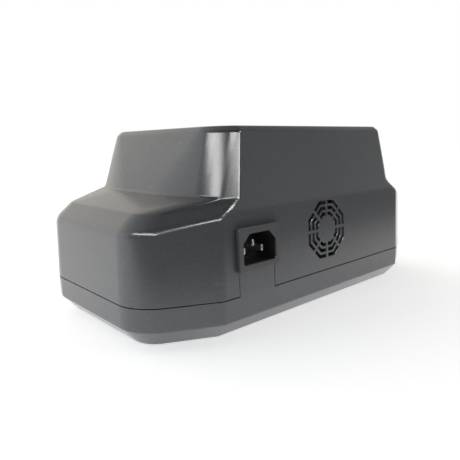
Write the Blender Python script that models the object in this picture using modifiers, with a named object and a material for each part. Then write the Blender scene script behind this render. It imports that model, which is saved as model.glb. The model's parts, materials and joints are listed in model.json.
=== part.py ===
"""Battery charger for a floor scrubber: a two-part moulded housing with its power supply and fan inside.

Units are metres with +Z up. The back face, with the mains inlet and the fan grille, looks along +Y.
Heights named from the seam are counted from the line where the cover meets the tray.
"""

import math
from dataclasses import dataclass, replace

import bmesh
import bpy
from mathutils import Matrix, Vector

MM = 0.001
DEG = math.pi / 180.0

# Clearances
FIT_GAP = 0.3 * MM
SEAM_GAP = 0.5 * MM
WELD = 0.001 * MM
SPARE = 3.0 * MM

# Housing outline at the seam
HOUSING_LENGTH = 259.7 * MM
HOUSING_DEPTH = 146.5 * MM
WING_REACH = 42.45 * MM
WING_ANGLE = 26.8 * DEG
CORNER_RADIUS = 25.0 * MM
CORNER_STEPS = 6
WALL = 2.5 * MM
COVER_DRAFT = 1.85 * DEG

# Cover, heights from the seam
BAND_END_Z = 38.1 * MM
BAND_WING_Z = 39.5 * MM
BAND_BACK_Z = 44.3 * MM
PANEL_CREASE_Z = 46.9 * MM
PANEL_UPPER_TILT = 7.4 * DEG
SHOULDER_EDGE_INSET = 11.15 * MM
SHOULDER_EDGE_Z = 47.2 * MM
SHOULDER_BACK_INSET = 13.9 * MM
SHOULDER_BACK_Z = 53.2 * MM
SHOULDER_BACK_WING = 29.0 * DEG
SHOULDER_FRONT_SIDE_INSET = 3.4 * MM
SHOULDER_FRONT_INSET = 7.8 * MM
SHOULDER_FRONT_WING = 28.0 * DEG
SHOULDER_RADIUS = 20.0 * MM
BLOCK_BASE_INSET = 34.85 * MM
BLOCK_BASE_Z = 54.6 * MM
BLOCK_BASE_BACK_INSET = 14.5 * MM
BLOCK_BASE_BACK_Z = 53.8 * MM
BLOCK_BASE_RADIUS = 25.0 * MM
BLOCK_FRONT_INSET = 10.5 * MM
BLOCK_RIM_INSET = 48.95 * MM
BLOCK_RIM_Z = 87.9 * MM
BLOCK_RIM_BACK_INSET = 20.1 * MM
BLOCK_RIM_RADIUS = 22.0 * MM
RIM_CHAMFER = 4.0 * MM

# Tray
TRAY_HEIGHT = 22.0 * MM
TRAY_WALL_HEIGHT = 13.0 * MM
TRAY_TAPER = 0.3 * MM
TRAY_CHAMFER = 9.1 * MM
TRAY_EDGE_RADIUS = 3.0 * MM
LIP_HEIGHT = 2.0 * MM
LIP_THICKNESS = 1.0 * MM

# Feet
FOOT_HEIGHT = 1.5 * MM
FOOT_RADIUS = 7.0 * MM
FOOT_RECESS = 0.8 * MM
FOOT_END_MARGIN = 37.85 * MM
FOOT_SIDE_MARGIN = 27.25 * MM

# Mains inlet, measured on the back panel
INLET_CREASE_GAP = 9.35 * MM
INLET_Z = 25.6 * MM
INLET_FLANGE_WIDTH = 31.0 * MM
INLET_FLANGE_HEIGHT = 24.5 * MM
INLET_FLANGE_THICKNESS = 2.8 * MM
INLET_FLANGE_CORNER = 1.6 * MM
INLET_BODY_WIDTH = 27.4 * MM
INLET_BODY_HEIGHT = 19.4 * MM
INLET_BODY_DEPTH = 16.0 * MM
INLET_MOUTH_WIDTH = 24.8 * MM
INLET_MOUTH_HEIGHT = 16.8 * MM
INLET_MOUTH_CHAMFER = 5.0 * MM
INLET_MOUTH_CORNER = 1.5 * MM
INLET_REAR_WALL = 2.0 * MM
INLET_LUG = 0.9 * MM
PIN_WIDTH = 2.0 * MM
PIN_HEIGHT = 4.0 * MM
PIN_PITCH = 7.0 * MM
PIN_RISE = 4.0 * MM
PIN_SETBACK = 5.5 * MM
PIN_TAG_LENGTH = 7.0 * MM
MAINS_WIRE_RADIUS = 1.1 * MM
MAINS_WIRE_BEND = 5.0 * MM

# Fan grille and fan, measured on the back panel
FAN_X = -1.0 * MM
FAN_Z = 26.55 * MM
GRILLE_ACROSS = 36.6 * MM
GRILLE_RINGS = 3
GRILLE_SLOT = 2.2 * MM
GRILLE_BAR = 1.5 * MM
GRILLE_SPOKE = 1.9 * MM
FAN_SIZE = 40.0 * MM
FAN_THICKNESS = 10.2 * MM
FAN_RIM = 1.0 * MM
FAN_HOLE_MARGIN = 4.0 * MM
FAN_BOSS_RADIUS = 2.8 * MM
FAN_BOSS_HEIGHT = 4.0 * MM
FAN_SCREW_RADIUS = 1.3 * MM
FAN_SCREW_HEAD_RADIUS = 2.4 * MM
FAN_SCREW_HEAD = 1.6 * MM
FAN_STRUT_ANGLE = 97.0 * DEG
FAN_STRUTS = 3
FAN_STRUT_WIDTH = 3.0 * MM
FAN_BASE_RADIUS = 8.6 * MM
FAN_BASE_THICKNESS = 2.0 * MM
FAN_TUBE_RADIUS = 2.7 * MM
FAN_TUBE_WALL = 0.6 * MM
FAN_BEARING_WALL = 0.5 * MM
FAN_SHAFT_CLEARANCE = 0.08 * MM
FAN_STATOR_RADIUS = 6.2 * MM
FAN_STATOR_HEIGHT = 3.6 * MM
FAN_HUB_RADIUS = 8.8 * MM
FAN_HUB_WALL = 1.2 * MM
FAN_HUB_HEIGHT = 7.2 * MM
FAN_BLADES = 7
FAN_TIP_GAP = 0.6 * MM
FAN_BLADE_THICKNESS = 0.8 * MM
FAN_BLADE_PITCH_ROOT = 48.0 * DEG
FAN_BLADE_PITCH_TIP = 32.0 * DEG
FAN_BLADE_CHORD = 7.0 * MM
FAN_LEAD_RADIUS = 0.6 * MM

# Case screws and their bosses
SCREW_END_MARGIN = 23.85 * MM
SCREW_SIDE_MARGIN = 41.75 * MM
SCREW_RADIUS = 1.7 * MM
SCREW_HEAD_RADIUS = 3.2 * MM
SCREW_HEAD_HEIGHT = 2.4 * MM
SCREW_GRIP = 12.0 * MM
BOSS_WALL = 2.2 * MM
BOSS_SHELF = 3.0 * MM

# Circuit board
BOARD_END_MARGIN = 35.85 * MM
BOARD_SIDE_MARGIN = 12.25 * MM
BOARD_THICKNESS = 1.6 * MM
BOARD_CORNER = 3.0 * MM
STANDOFF_HEIGHT = 6.0 * MM
STANDOFF_RADIUS = 3.5 * MM
STANDOFF_INSET = 6.0 * MM
BOARD_SCREW_RADIUS = 1.2 * MM
BOARD_SCREW_HEAD_RADIUS = 2.8 * MM
BOARD_SCREW_HEAD = 1.8 * MM

# Parts on the board, each placed from the board's ends, front or back edge
CORE_X = -3.0 * MM
CORE_Y = 0.0 * MM
CORE_LENGTH = 42.0 * MM
CORE_DEPTH = 15.0 * MM
CORE_HEIGHT = 36.0 * MM
CORE_LEG = 12.0 * MM
CORE_YOKE = 6.0 * MM
BULK_CAPACITOR_RADIUS = 10.0 * MM
BULK_CAPACITOR_HEIGHT = 40.0 * MM
BULK_CAPACITOR_FROM_END = 40.5 * MM
BULK_CAPACITORS_FROM_FRONT = (17.0 * MM, 39.0 * MM)
OUTPUT_CAPACITOR_RADIUS = 6.5 * MM
OUTPUT_CAPACITOR_HEIGHT = 25.0 * MM
OUTPUT_CAPACITOR_FROM_END = 10.5 * MM
OUTPUT_CAPACITORS_FROM_FRONT = (18.0 * MM, 34.0 * MM, 50.0 * MM)
CHOKE_EDGE = 3.0 * MM
LINE_CHOKE_RADIUS = 12.0 * MM
LINE_CHOKE_BORE = 4.5 * MM
LINE_CHOKE_HEIGHT = 14.0 * MM
LINE_CHOKE_FROM_END = 14.5 * MM
OUTPUT_CHOKE_RADIUS = 13.0 * MM
OUTPUT_CHOKE_BORE = 5.0 * MM
OUTPUT_CHOKE_HEIGHT = 15.0 * MM
OUTPUT_CHOKE_FROM_END = 34.0 * MM
OUTPUT_CHOKE_FROM_BACK = 33.0 * MM
FILTER_SIZE = (12.0 * MM, 26.0 * MM, 20.0 * MM)
FILTER_X = 14.0 * MM
FILTER_FROM_BACK = 21.0 * MM
RELAY_SIZE = (14.0 * MM, 28.0 * MM, 18.0 * MM)
RELAY_FROM_END = 12.0 * MM
RELAY_FROM_BACK = 24.0 * MM
BRIDGE_SIZE = (4.0 * MM, 22.0 * MM, 18.0 * MM)
BRIDGE_FROM_END = 26.0 * MM
BRIDGE_FROM_FRONT = 21.0 * MM
BOX_EDGE = 0.8 * MM
FUSE_RADIUS = 2.6 * MM
FUSE_LENGTH = 20.0 * MM
FUSE_CAP = 6.0 * MM
FUSE_STEP = 0.3 * MM
FUSE_FROM_END = 10.0 * MM
FUSE_FROM_BACK = 35.0 * MM
SINK_HEIGHT = 38.0 * MM
SINK_PLATE = 3.0 * MM
SINK_FIN = 1.2 * MM
SWITCH_SINK_LENGTH = 46.0 * MM
SWITCH_SINK_DEPTH = 15.0 * MM
SWITCH_SINK_FINS = 7
SWITCH_SINK_FROM_FRONT = 12.0 * MM
RECTIFIER_SINK_LENGTH = 26.0 * MM
RECTIFIER_SINK_DEPTH = 14.0 * MM
RECTIFIER_SINK_FINS = 5
RECTIFIER_SINK_FROM_END = 34.0 * MM
RECTIFIER_SINK_FROM_FRONT = 34.0 * MM
TRANSISTOR_PITCH = 26.0 * MM
PACKAGE_WIDTH = 15.0 * MM
PACKAGE_DEPTH = 4.6 * MM
PACKAGE_HEIGHT = 19.0 * MM
PACKAGE_OVERLAP = 0.5 * MM
PACKAGE_LEG_HEIGHT = 8.0 * MM
PACKAGE_LEG_WIDTH = 9.0 * MM
PACKAGE_LEG_DEPTH = 0.8 * MM

# Front of the housing
GROMMET_CREASE_GAP = 18.85 * MM
GROMMET_Z = 20.0 * MM
GROMMET_BORE = 4.5 * MM
GROMMET_NECK = 7.5 * MM
GROMMET_FLANGE = 10.5 * MM
GROMMET_PROUD = 3.2 * MM
LAMP_X = 40.0 * MM
LAMP_Z = 26.0 * MM
LAMP_PITCH = 12.0 * MM
LAMP_RADIUS = 2.5 * MM
LAMP_COLLAR = 0.5 * MM
LAMP_PROUD = 2.0 * MM
LAMP_BOARD_INSET = 1.2 * MM
LAMP_BOARD_MARGIN = 6.0 * MM

# Intake slots through the tray floor
VENT_COUNT = 9
VENT_PITCH = 9.0 * MM
VENT_WIDTH = 3.0 * MM
VENT_LENGTH = 26.0 * MM
VENT_CORNER = 0.8 * MM
VENT_FRONT_MARGIN = 35.25 * MM

# Turned pieces on the panels lie along +Y
ALONG_Y = (-90.0 * DEG, 0.0, 0.0)

# Derived sizes and places
FAN_DUCT_RADIUS = FAN_SIZE / 2 - FAN_RIM
FAN_HOLE_PITCH = FAN_SIZE - 2 * FAN_HOLE_MARGIN
FAN_BLADE_TIP = FAN_DUCT_RADIUS - FAN_TIP_GAP
BACK_FLAT = HOUSING_LENGTH - 2 * WING_REACH
SHOULDER_EDGE_X = HOUSING_LENGTH / 2 - SHOULDER_EDGE_INSET
SHOULDER_BACK_X = BACK_FLAT / 2 - SHOULDER_BACK_INSET
SHOULDER_FRONT_X = BACK_FLAT / 2 - SHOULDER_FRONT_SIDE_INSET
BLOCK_BASE_X = HOUSING_LENGTH / 2 - BLOCK_BASE_INSET
BLOCK_BASE_BACK_X = BACK_FLAT / 2 - BLOCK_BASE_BACK_INSET
BLOCK_RIM_X = HOUSING_LENGTH / 2 - BLOCK_RIM_INSET
BLOCK_RIM_BACK_X = BACK_FLAT / 2 - BLOCK_RIM_BACK_INSET
FOOT_X = HOUSING_LENGTH / 2 - FOOT_END_MARGIN
FOOT_Y = HOUSING_DEPTH / 2 - FOOT_SIDE_MARGIN
INLET_X = BACK_FLAT / 2 - INLET_CREASE_GAP - INLET_FLANGE_WIDTH / 2
SCREW_X = HOUSING_LENGTH / 2 - SCREW_END_MARGIN
SCREW_Y = HOUSING_DEPTH / 2 - SCREW_SIDE_MARGIN
BOARD_LENGTH = HOUSING_LENGTH - 2 * BOARD_END_MARGIN
BOARD_DEPTH = HOUSING_DEPTH - 2 * BOARD_SIDE_MARGIN
GROMMET_X = GROMMET_CREASE_GAP + GROMMET_FLANGE - BACK_FLAT / 2
VENT_Y = VENT_FRONT_MARGIN - HOUSING_DEPTH / 2
SEAM_Z = FOOT_HEIGHT + TRAY_HEIGHT
BOSS_BORE = SCREW_RADIUS + FIT_GAP
BOSS_RADIUS = BOSS_BORE + BOSS_WALL
TRAY_POST_BORE = SCREW_HEAD_RADIUS + 0.5 * MM
TRAY_POST_RADIUS = TRAY_POST_BORE + 1.6 * MM
FLOOR_Z = FOOT_HEIGHT + WALL
BOARD_Z = FLOOR_Z + STANDOFF_HEIGHT + FIT_GAP
BOARD_TOP = BOARD_Z + BOARD_THICKNESS
PART_Z = BOARD_TOP + FIT_GAP
BACK_REACH = ((INLET_FLANGE_THICKNESS + FIT_GAP) * math.cos(COVER_DRAFT)
              - (INLET_Z - INLET_FLANGE_HEIGHT / 2) * math.sin(COVER_DRAFT))
FRONT_REACH = (GROMMET_PROUD * math.cos(COVER_DRAFT)
               - (GROMMET_Z - GROMMET_FLANGE) * math.sin(COVER_DRAFT))
BODY_Y = (FRONT_REACH - BACK_REACH) / 2
BACK_Y = BODY_Y + HOUSING_DEPTH / 2
FRONT_Y = BODY_Y - HOUSING_DEPTH / 2


def clear_scene():
    """Remove every object so that the model starts from nothing."""
    for obj in list(bpy.data.objects):
        bpy.data.objects.remove(obj, do_unlink=True)


def make_collection(name):
    """Return a new collection linked to the scene."""
    group = bpy.data.collections.new(name)
    bpy.context.scene.collection.children.link(group)
    return group


def make_material(name, colour, roughness, metallic=0.0):
    """Return a Principled material of one colour."""
    mat = bpy.data.materials.new(name)
    mat.use_nodes = True
    shader = mat.node_tree.nodes["Principled BSDF"]
    shader.inputs["Base Color"].default_value = (*colour, 1.0)
    shader.inputs["Roughness"].default_value = roughness
    shader.inputs["Metallic"].default_value = metallic
    mat.diffuse_color = (*colour, 1.0)
    return mat


class Workshop:
    """Holds the collections and adds finished pieces and cutters to them."""

    def __init__(self):
        self.parts = make_collection("floor_scrubber_battery_charger")
        self.cutters = make_collection("construction_shapes")
        self.back_frame = self.empty("back_panel_frame", Vector((0, BACK_Y, SEAM_Z)), COVER_DRAFT)
        self.front_frame = self.empty("front_panel_frame", Vector((0, FRONT_Y, SEAM_Z)), -COVER_DRAFT)

    def empty(self, name, place, lean):
        """Add a guide at a foot of a drafted wall, leaning with it about X."""
        guide = bpy.data.objects.new(name, None)
        guide.location = place
        guide.rotation_euler = (lean, 0, 0)
        self.cutters.objects.link(guide)
        return guide

    def piece(self, name, mesh_builder, finish, place=(0, 0, 0), turn=(0, 0, 0), frame=None, sharp=35 * DEG):
        """Add one sub-part from a bmesh, with its material, place and parent."""
        mesh = bpy.data.meshes.new(name)
        mesh_builder.to_mesh(mesh)
        mesh_builder.free()
        mesh.shade_smooth()
        mesh.set_sharp_from_angle(angle=sharp)
        obj = bpy.data.objects.new(name, mesh)
        obj.data.materials.append(finish)
        obj.location = place
        obj.rotation_euler = turn
        obj.parent = frame
        self.parts.objects.link(obj)
        return obj

    def turned(self, name, profile, finish, sides=20, place=(0, 0, 0), frame=None, turn=(0, 0, 0)):
        """Add one turned sub-part; its profile is given as (radius, height) points."""
        obj = self.piece(name, profile_line(profile), finish, place=place, frame=frame, turn=turn)
        screw(obj, sides)
        obj.modifiers.new("even_shading", "WEIGHTED_NORMAL")
        return obj

    def shape(self, name, mesh_builder, place=(0, 0, 0), turn=(0, 0, 0), frame=None):
        """Add a hidden shape that a Boolean uses."""
        mesh = bpy.data.meshes.new(name)
        mesh_builder.to_mesh(mesh)
        mesh_builder.free()
        obj = bpy.data.objects.new(name, mesh)
        obj.location = place
        obj.rotation_euler = turn
        obj.parent = frame
        obj.hide_render = True
        obj.display_type = "WIRE"
        self.cutters.objects.link(obj)
        return obj


def boolean(target, shape, operation):
    """Give a target one EXACT Boolean with a hidden shape."""
    mod = target.modifiers.new(f"{operation.lower()}_{shape.name}", "BOOLEAN")
    mod.operation = operation
    mod.solver = "EXACT"
    mod.object = shape


def mirror_x(obj):
    """Mirror a half that is open at the middle plane."""
    mod = obj.modifiers.new("mirror", "MIRROR")
    mod.merge_threshold = 0.00001
    mod.use_clip = True


def block(size, centre=(0, 0, 0)):
    """Return a box as a bmesh."""
    bm = bmesh.new()
    matrix = Matrix.Translation(centre) @ Matrix.Diagonal((*size, 1))
    bmesh.ops.create_cube(bm, size=1, matrix=matrix)
    return bm


def round_block(size, radius, centre=(0, 0, 0), steps=2):
    """Return a box with its upright edges rounded."""
    bm = block(size, centre)
    upright = [e for e in bm.edges if abs(e.verts[0].co.z - e.verts[1].co.z) > size[2] / 2]
    bmesh.ops.bevel(bm, geom=upright, offset=radius, segments=steps, profile=0.5, affect="EDGES", material=-1)
    return bm


def rod(radius, length, centre=(0, 0, 0), axis="Z", sides=16):
    """Return a cylinder about one axis as a bmesh."""
    turn = {"X": Matrix.Rotation(math.pi / 2, 4, "Y"), "Y": Matrix.Rotation(math.pi / 2, 4, "X"),
            "Z": Matrix.Identity(4)}[axis]
    bm = bmesh.new()
    bmesh.ops.create_cone(bm, cap_ends=True, segments=sides, radius1=radius, radius2=radius, depth=length,
                          matrix=Matrix.Translation(centre) @ turn)
    return bm


def merged(*pieces):
    """Put several closed shapes that do not meet into one bmesh."""
    whole = bmesh.new()
    for bm in pieces:
        mesh = bpy.data.meshes.new("merge")
        bm.to_mesh(mesh)
        bm.free()
        whole.from_mesh(mesh)
        bpy.data.meshes.remove(mesh)
    return whole


def moved(bm, offset):
    """Shift a bmesh and return it."""
    bmesh.ops.translate(bm, vec=Vector(offset), verts=bm.verts)
    return bm


def prism(outline, height, axis="Z", base=0.0):
    """Extrude a flat closed outline along an axis; the outline lies in the other two axes."""
    lift = {"Z": lambda u, v: (u, v, base), "Y": lambda u, v: (u, base, v), "X": lambda u, v: (base, u, v)}[axis]
    along = {"Z": (0, 0, height), "Y": (0, height, 0), "X": (height, 0, 0)}[axis]
    bm = bmesh.new()
    face = bm.faces.new([bm.verts.new(lift(u, v)) for u, v in outline])
    grown = bmesh.ops.extrude_face_region(bm, geom=[face])
    bmesh.ops.translate(bm, vec=along, verts=[g for g in grown["geom"] if isinstance(g, bmesh.types.BMVert)])
    bmesh.ops.recalc_face_normals(bm, faces=bm.faces)
    return bm


def profile_line(profile):
    """Return a bmesh line through (radius, height) points, ordered so that its outer side runs down."""
    area = sum(r0 * h1 - r1 * h0 for (r0, h0), (r1, h1) in zip(profile, [*profile[1:], profile[0]]))
    ordered = list(reversed(profile)) if area > 0 else profile
    bm = bmesh.new()
    verts = [bm.verts.new((r, 0, h)) for r, h in ordered]
    for first, second in zip(verts, verts[1:]):
        bm.edges.new((first, second))
    if profile[0][0] > 0:
        bm.edges.new((verts[-1], verts[0]))
    return bm


def screw(obj, sides):
    """Turn a profile line full circle about the object's own Z axis."""
    mod = obj.modifiers.new("turn", "SCREW")
    mod.steps = sides
    mod.render_steps = sides
    mod.use_merge_vertices = True
    mod.merge_threshold = WELD
    mod.use_smooth_shade = True
    return obj


def smooth_route(stops, per_leg=3):
    """Return points on a smooth curve through the stops of a wire."""
    stops = [Vector(p) for p in stops]
    padded = [2 * stops[0] - stops[1], *stops, 2 * stops[-1] - stops[-2]]
    route = []
    for a, b, c, d in zip(padded, padded[1:], padded[2:], padded[3:]):
        for step in range(per_leg):
            t = step / per_leg
            route.append(0.5 * (2 * b + (c - a) * t + (2 * a - 5 * b + 4 * c - d) * t * t
                                + (3 * b - a - 3 * c + d) * t * t * t))
    route.append(stops[-1])
    return route


def wire(shop, name, stops, radius, finish, frame=None):
    """Add an insulated wire along a smooth route."""
    curve = bpy.data.curves.new(name, "CURVE")
    curve.dimensions = "3D"
    curve.bevel_depth = radius
    curve.bevel_resolution = 2
    curve.use_fill_caps = True
    points = smooth_route(stops)
    spline = curve.splines.new("POLY")
    spline.points.add(len(points) - 1)
    for slot, point in zip(spline.points, points):
        slot.co = (*point, 1)
    obj = bpy.data.objects.new(name, curve)
    obj.data.materials.append(finish)
    obj.parent = frame
    shop.parts.objects.link(obj)
    return obj


def back_face_y(height):
    """Return where the outer back face stands at a height above the seam."""
    lower = min(height, PANEL_CREASE_Z)
    upper = max(height - PANEL_CREASE_Z, 0.0)
    return BACK_Y - lower * math.tan(COVER_DRAFT) - upper * math.tan(PANEL_UPPER_TILT)


@dataclass(frozen=True)
class Section:
    """One outline round the housing: flat back, angled wings, rounded corners and flat ends."""

    back_x: float
    back_y: float
    back_wing: float
    back_radius: float
    end_x: float
    front_x: float
    front_y: float
    front_wing: float
    front_radius: float
    back_z: float
    wing_z: float
    end_z: float
    front_z: float

    @staticmethod
    def corner(crease_x, crease_y, wing, radius, end_x):
        """Return the arc that joins a wing to the end face, starting on the wing."""
        apex = Vector((end_x, crease_y - (end_x - crease_x) * math.tan(wing)))
        turn = math.pi / 2 - wing
        centre = apex - Vector((radius, radius * math.tan(turn / 2)))
        angles = [turn * (1 - i / CORNER_STEPS) for i in range(CORNER_STEPS + 1)]
        return [centre + radius * Vector((math.cos(a), math.sin(a))) for a in angles]

    def wing_tangent(self):
        """Return where the back corner's arc meets the wing."""
        return self.corner(self.back_x, self.back_y, self.back_wing, self.back_radius, self.end_x)[0]

    def points(self):
        """Return the half outline from the back crease round to the middle of the front."""
        back = self.corner(self.back_x, self.back_y, self.back_wing, self.back_radius, self.end_x)
        front = self.corner(self.front_x, -self.front_y, self.front_wing, self.front_radius, self.end_x)
        line = [Vector((self.back_x, self.back_y, self.back_z))]
        for i, p in enumerate(back):
            height = self.wing_z + (self.end_z - self.wing_z) * math.sin(math.pi / 2 * i / CORNER_STEPS)
            line.append(Vector((p.x, p.y, height)))
        for p in reversed(front):
            line.append(Vector((p.x, -p.y, self.end_z)))
        line.append(Vector((self.front_x, self.front_y, self.front_z)))
        line.append(Vector((0, self.front_y, self.front_z)))
        return [p + Vector((0, 0, SEAM_Z)) for p in line]

    def ring(self):
        """Return the half outline with the middle of the back in front."""
        return [Vector((0, self.back_y, SEAM_Z + self.back_z)), *self.points()]


def body_section(inset, height):
    """Return the housing outline moved in from the seam outline, at one height."""
    crease = BACK_FLAT / 2 - inset * math.tan(WING_ANGLE / 2)
    return Section(back_x=crease, back_y=BACK_Y - inset, back_wing=WING_ANGLE,
                   back_radius=CORNER_RADIUS - inset, end_x=HOUSING_LENGTH / 2 - inset,
                   front_x=crease, front_y=FRONT_Y + inset, front_wing=WING_ANGLE,
                   front_radius=CORNER_RADIUS - inset,
                   back_z=height, wing_z=height, end_z=height, front_z=height)


def cover_sections():
    """Return the outer sections of the cover from the seam up to its flat top."""
    draft = math.tan(COVER_DRAFT)
    seam = body_section(0.0, 0.0)
    band = replace(body_section(BAND_END_Z * draft, BAND_END_Z), back_y=back_face_y(BAND_BACK_Z),
                   back_z=BAND_BACK_Z, wing_z=BAND_WING_Z)
    shoulder = Section(back_x=SHOULDER_BACK_X, back_y=back_face_y(SHOULDER_BACK_Z),
                       back_wing=SHOULDER_BACK_WING, back_radius=SHOULDER_RADIUS, end_x=SHOULDER_EDGE_X,
                       front_x=SHOULDER_FRONT_X, front_y=FRONT_Y + SHOULDER_FRONT_INSET,
                       front_wing=SHOULDER_FRONT_WING, front_radius=SHOULDER_RADIUS,
                       back_z=SHOULDER_BACK_Z, wing_z=SHOULDER_EDGE_Z, end_z=SHOULDER_EDGE_Z,
                       front_z=SHOULDER_EDGE_Z)
    shoulder = replace(shoulder, wing_z=on_wing_chamfer(band, shoulder))
    base = Section(back_x=BLOCK_BASE_BACK_X, back_y=back_face_y(BLOCK_BASE_BACK_Z), back_wing=WING_ANGLE,
                   back_radius=BLOCK_BASE_RADIUS, end_x=BLOCK_BASE_X, front_x=BLOCK_BASE_BACK_X,
                   front_y=FRONT_Y + BLOCK_FRONT_INSET, front_wing=WING_ANGLE,
                   front_radius=BLOCK_BASE_RADIUS, back_z=BLOCK_BASE_BACK_Z,
                   wing_z=BLOCK_BASE_Z, end_z=BLOCK_BASE_Z, front_z=BLOCK_BASE_Z)
    rim_front = FRONT_Y + BLOCK_FRONT_INSET + (BLOCK_RIM_Z - BLOCK_BASE_Z) * math.tan(PANEL_UPPER_TILT)
    rim = Section(back_x=BLOCK_RIM_BACK_X, back_y=back_face_y(BLOCK_RIM_Z), back_wing=WING_ANGLE,
                  back_radius=BLOCK_RIM_RADIUS, end_x=BLOCK_RIM_X, front_x=BLOCK_RIM_BACK_X,
                  front_y=rim_front, front_wing=WING_ANGLE, front_radius=BLOCK_RIM_RADIUS,
                  back_z=BLOCK_RIM_Z, wing_z=BLOCK_RIM_Z, end_z=BLOCK_RIM_Z, front_z=BLOCK_RIM_Z)
    top = replace(rim, back_x=rim.back_x - RIM_CHAMFER * math.tan(WING_ANGLE / 2), back_y=rim.back_y - RIM_CHAMFER,
                  back_radius=rim.back_radius - RIM_CHAMFER, end_x=rim.end_x - RIM_CHAMFER,
                  front_x=rim.front_x - RIM_CHAMFER * math.tan(WING_ANGLE / 2), front_y=rim.front_y + RIM_CHAMFER,
                  front_radius=rim.front_radius - RIM_CHAMFER, back_z=rim.back_z + RIM_CHAMFER,
                  wing_z=rim.wing_z + RIM_CHAMFER, end_z=rim.end_z + RIM_CHAMFER, front_z=rim.front_z + RIM_CHAMFER)
    return [seam, band, shoulder, base, rim, top]


def on_wing_chamfer(band, shoulder):
    """Return the height at which the shoulder's wing lies on the flat chamfer above the band's wing."""
    low = Vector((band.back_x, band.back_y, band.back_z))
    side = Vector((*band.wing_tangent(), band.wing_z)) - low
    rise = Vector((shoulder.back_x, shoulder.back_y, shoulder.back_z)) - low
    across = side.cross(rise)
    place = shoulder.wing_tangent() - low.xy
    return band.back_z - (across.x * place.x + across.y * place.y) / across.z


def strip(bm, first, second):
    """Fill the quads between two lines of points of equal count."""
    for corners in zip(first, second, second[1:], first[1:]):
        bm.faces.new([bm.verts.new(p) for p in corners])


def polygon(bm, corners):
    """Add one flat face."""
    bm.faces.new([bm.verts.new(p) for p in corners])


def blend(first, second, share):
    """Return points part of the way between two lines of points."""
    return [a.lerp(b, share) for a, b in zip(first, second)]


def cover_skin(bm, sections):
    """Lay the outer walls of half the cover from the seam to the top, with the creased back panel."""
    seam, band, shoulder, base, rim, top = [s.points() for s in sections]
    crease_z = SEAM_Z + PANEL_CREASE_Z
    crease = blend(band, shoulder, (crease_z - band[0].z) / (shoulder[0].z - band[0].z))
    crease[0].y = back_face_y(PANEL_CREASE_Z)
    lines = [seam, band, crease, shoulder, base, rim, top]
    for lower, upper in zip(lines, lines[1:]):
        strip(bm, lower, upper)
    middle = {name: Vector((0, line[0].y, line[0].z)) for name, line in
              (("seam", seam), ("crease", crease), ("rim", rim), ("top", top))}
    polygon(bm, [middle["seam"], middle["crease"], crease[0], band[0], seam[0]])
    polygon(bm, [middle["crease"], middle["rim"], rim[0], base[0], shoulder[0], crease[0]])
    polygon(bm, [middle["rim"], middle["top"], top[0], rim[0]])
    polygon(bm, [middle["top"], *reversed(top)])
    bmesh.ops.remove_doubles(bm, verts=bm.verts, dist=WELD)


def thicken(obj):
    """Give an open skin the housing's wall, grown inwards."""
    mod = obj.modifiers.new("wall", "SOLIDIFY")
    mod.thickness = WALL
    mod.offset = -1
    mod.use_even_offset = True
    mod.use_quality_normals = True


def seam_cutter(shop, name, corners):
    """Return a hidden closed band round the housing, whose cross-section is given as (inset, height) corners."""
    rings = [body_section(inset, height).ring() for inset, height in [*corners, corners[0]]]
    bm = bmesh.new()
    for lower, upper in zip(rings, rings[1:]):
        strip(bm, lower, upper)
    bmesh.ops.remove_doubles(bm, verts=bm.verts, dist=WELD)
    band = shop.shape(name, bm)
    mirror_x(band)
    return band


def build_cover(shop, finish):
    """Make the top cover: a drafted shell with shoulders, a raised block and a creased back."""
    bm = bmesh.new()
    cover_skin(bm, cover_sections())
    cover = shop.piece("top_cover", bm, finish, sharp=20 * DEG)
    mirror_x(cover)
    thicken(cover)
    groove = WALL - LIP_THICKNESS - FIT_GAP
    rim, roof = SEAM_GAP / 2, LIP_HEIGHT + FIT_GAP
    boolean(cover, seam_cutter(shop, "cover_seam", [(WALL + SPARE, -SPARE), (-SPARE, -SPARE), (-SPARE, rim),
                                                    (groove, rim), (groove, roof), (WALL + SPARE, roof)]),
            "DIFFERENCE")
    boolean(cover, shop.shape("cover_bosses", cover_bosses()), "UNION")
    boolean(cover, shop.shape("cover_boss_bores", cover_boss_bores()), "DIFFERENCE")
    posts = fan_posts(FAN_BOSS_RADIUS, -WALL - FAN_BOSS_HEIGHT, -WALL / 2, 16)
    boolean(cover, shop.shape("fan_bosses", posts, frame=shop.back_frame), "UNION")
    bores = fan_posts(FAN_SCREW_RADIUS + FIT_GAP, -WALL - FAN_BOSS_HEIGHT - SPARE, -WALL - FIT_GAP, 12)
    boolean(cover, shop.shape("fan_boss_bores", bores, frame=shop.back_frame), "DIFFERENCE")
    boolean(cover, shop.shape("back_openings", back_openings(), frame=shop.back_frame), "DIFFERENCE")
    boolean(cover, shop.shape("front_openings", front_openings(), frame=shop.front_frame), "DIFFERENCE")
    return cover


def screw_places():
    """Return the four places of the case screws."""
    return [(sx * SCREW_X, BODY_Y + sy * SCREW_Y) for sx in (-1, 1) for sy in (-1, 1)]


def shoulder_height(x):
    """Return the height of the shoulder's outer face above the seam at a distance from the middle."""
    share = (abs(x) - BLOCK_BASE_X) / (SHOULDER_EDGE_X - BLOCK_BASE_X)
    return BLOCK_BASE_Z + (SHOULDER_EDGE_Z - BLOCK_BASE_Z) * share


def cover_bosses():
    """Return the posts that hang from the shoulders to meet the tray's posts."""
    posts = []
    for x, y in screw_places():
        bm = rod(BOSS_RADIUS, 1.0, (x, y, 0.5))
        for vert in bm.verts:
            top = shoulder_height(vert.co.x) - WALL / 2
            vert.co.z = SEAM_Z + (top if vert.co.z > 0.5 else FIT_GAP / 2)
        posts.append(bm)
    return merged(*posts)


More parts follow.
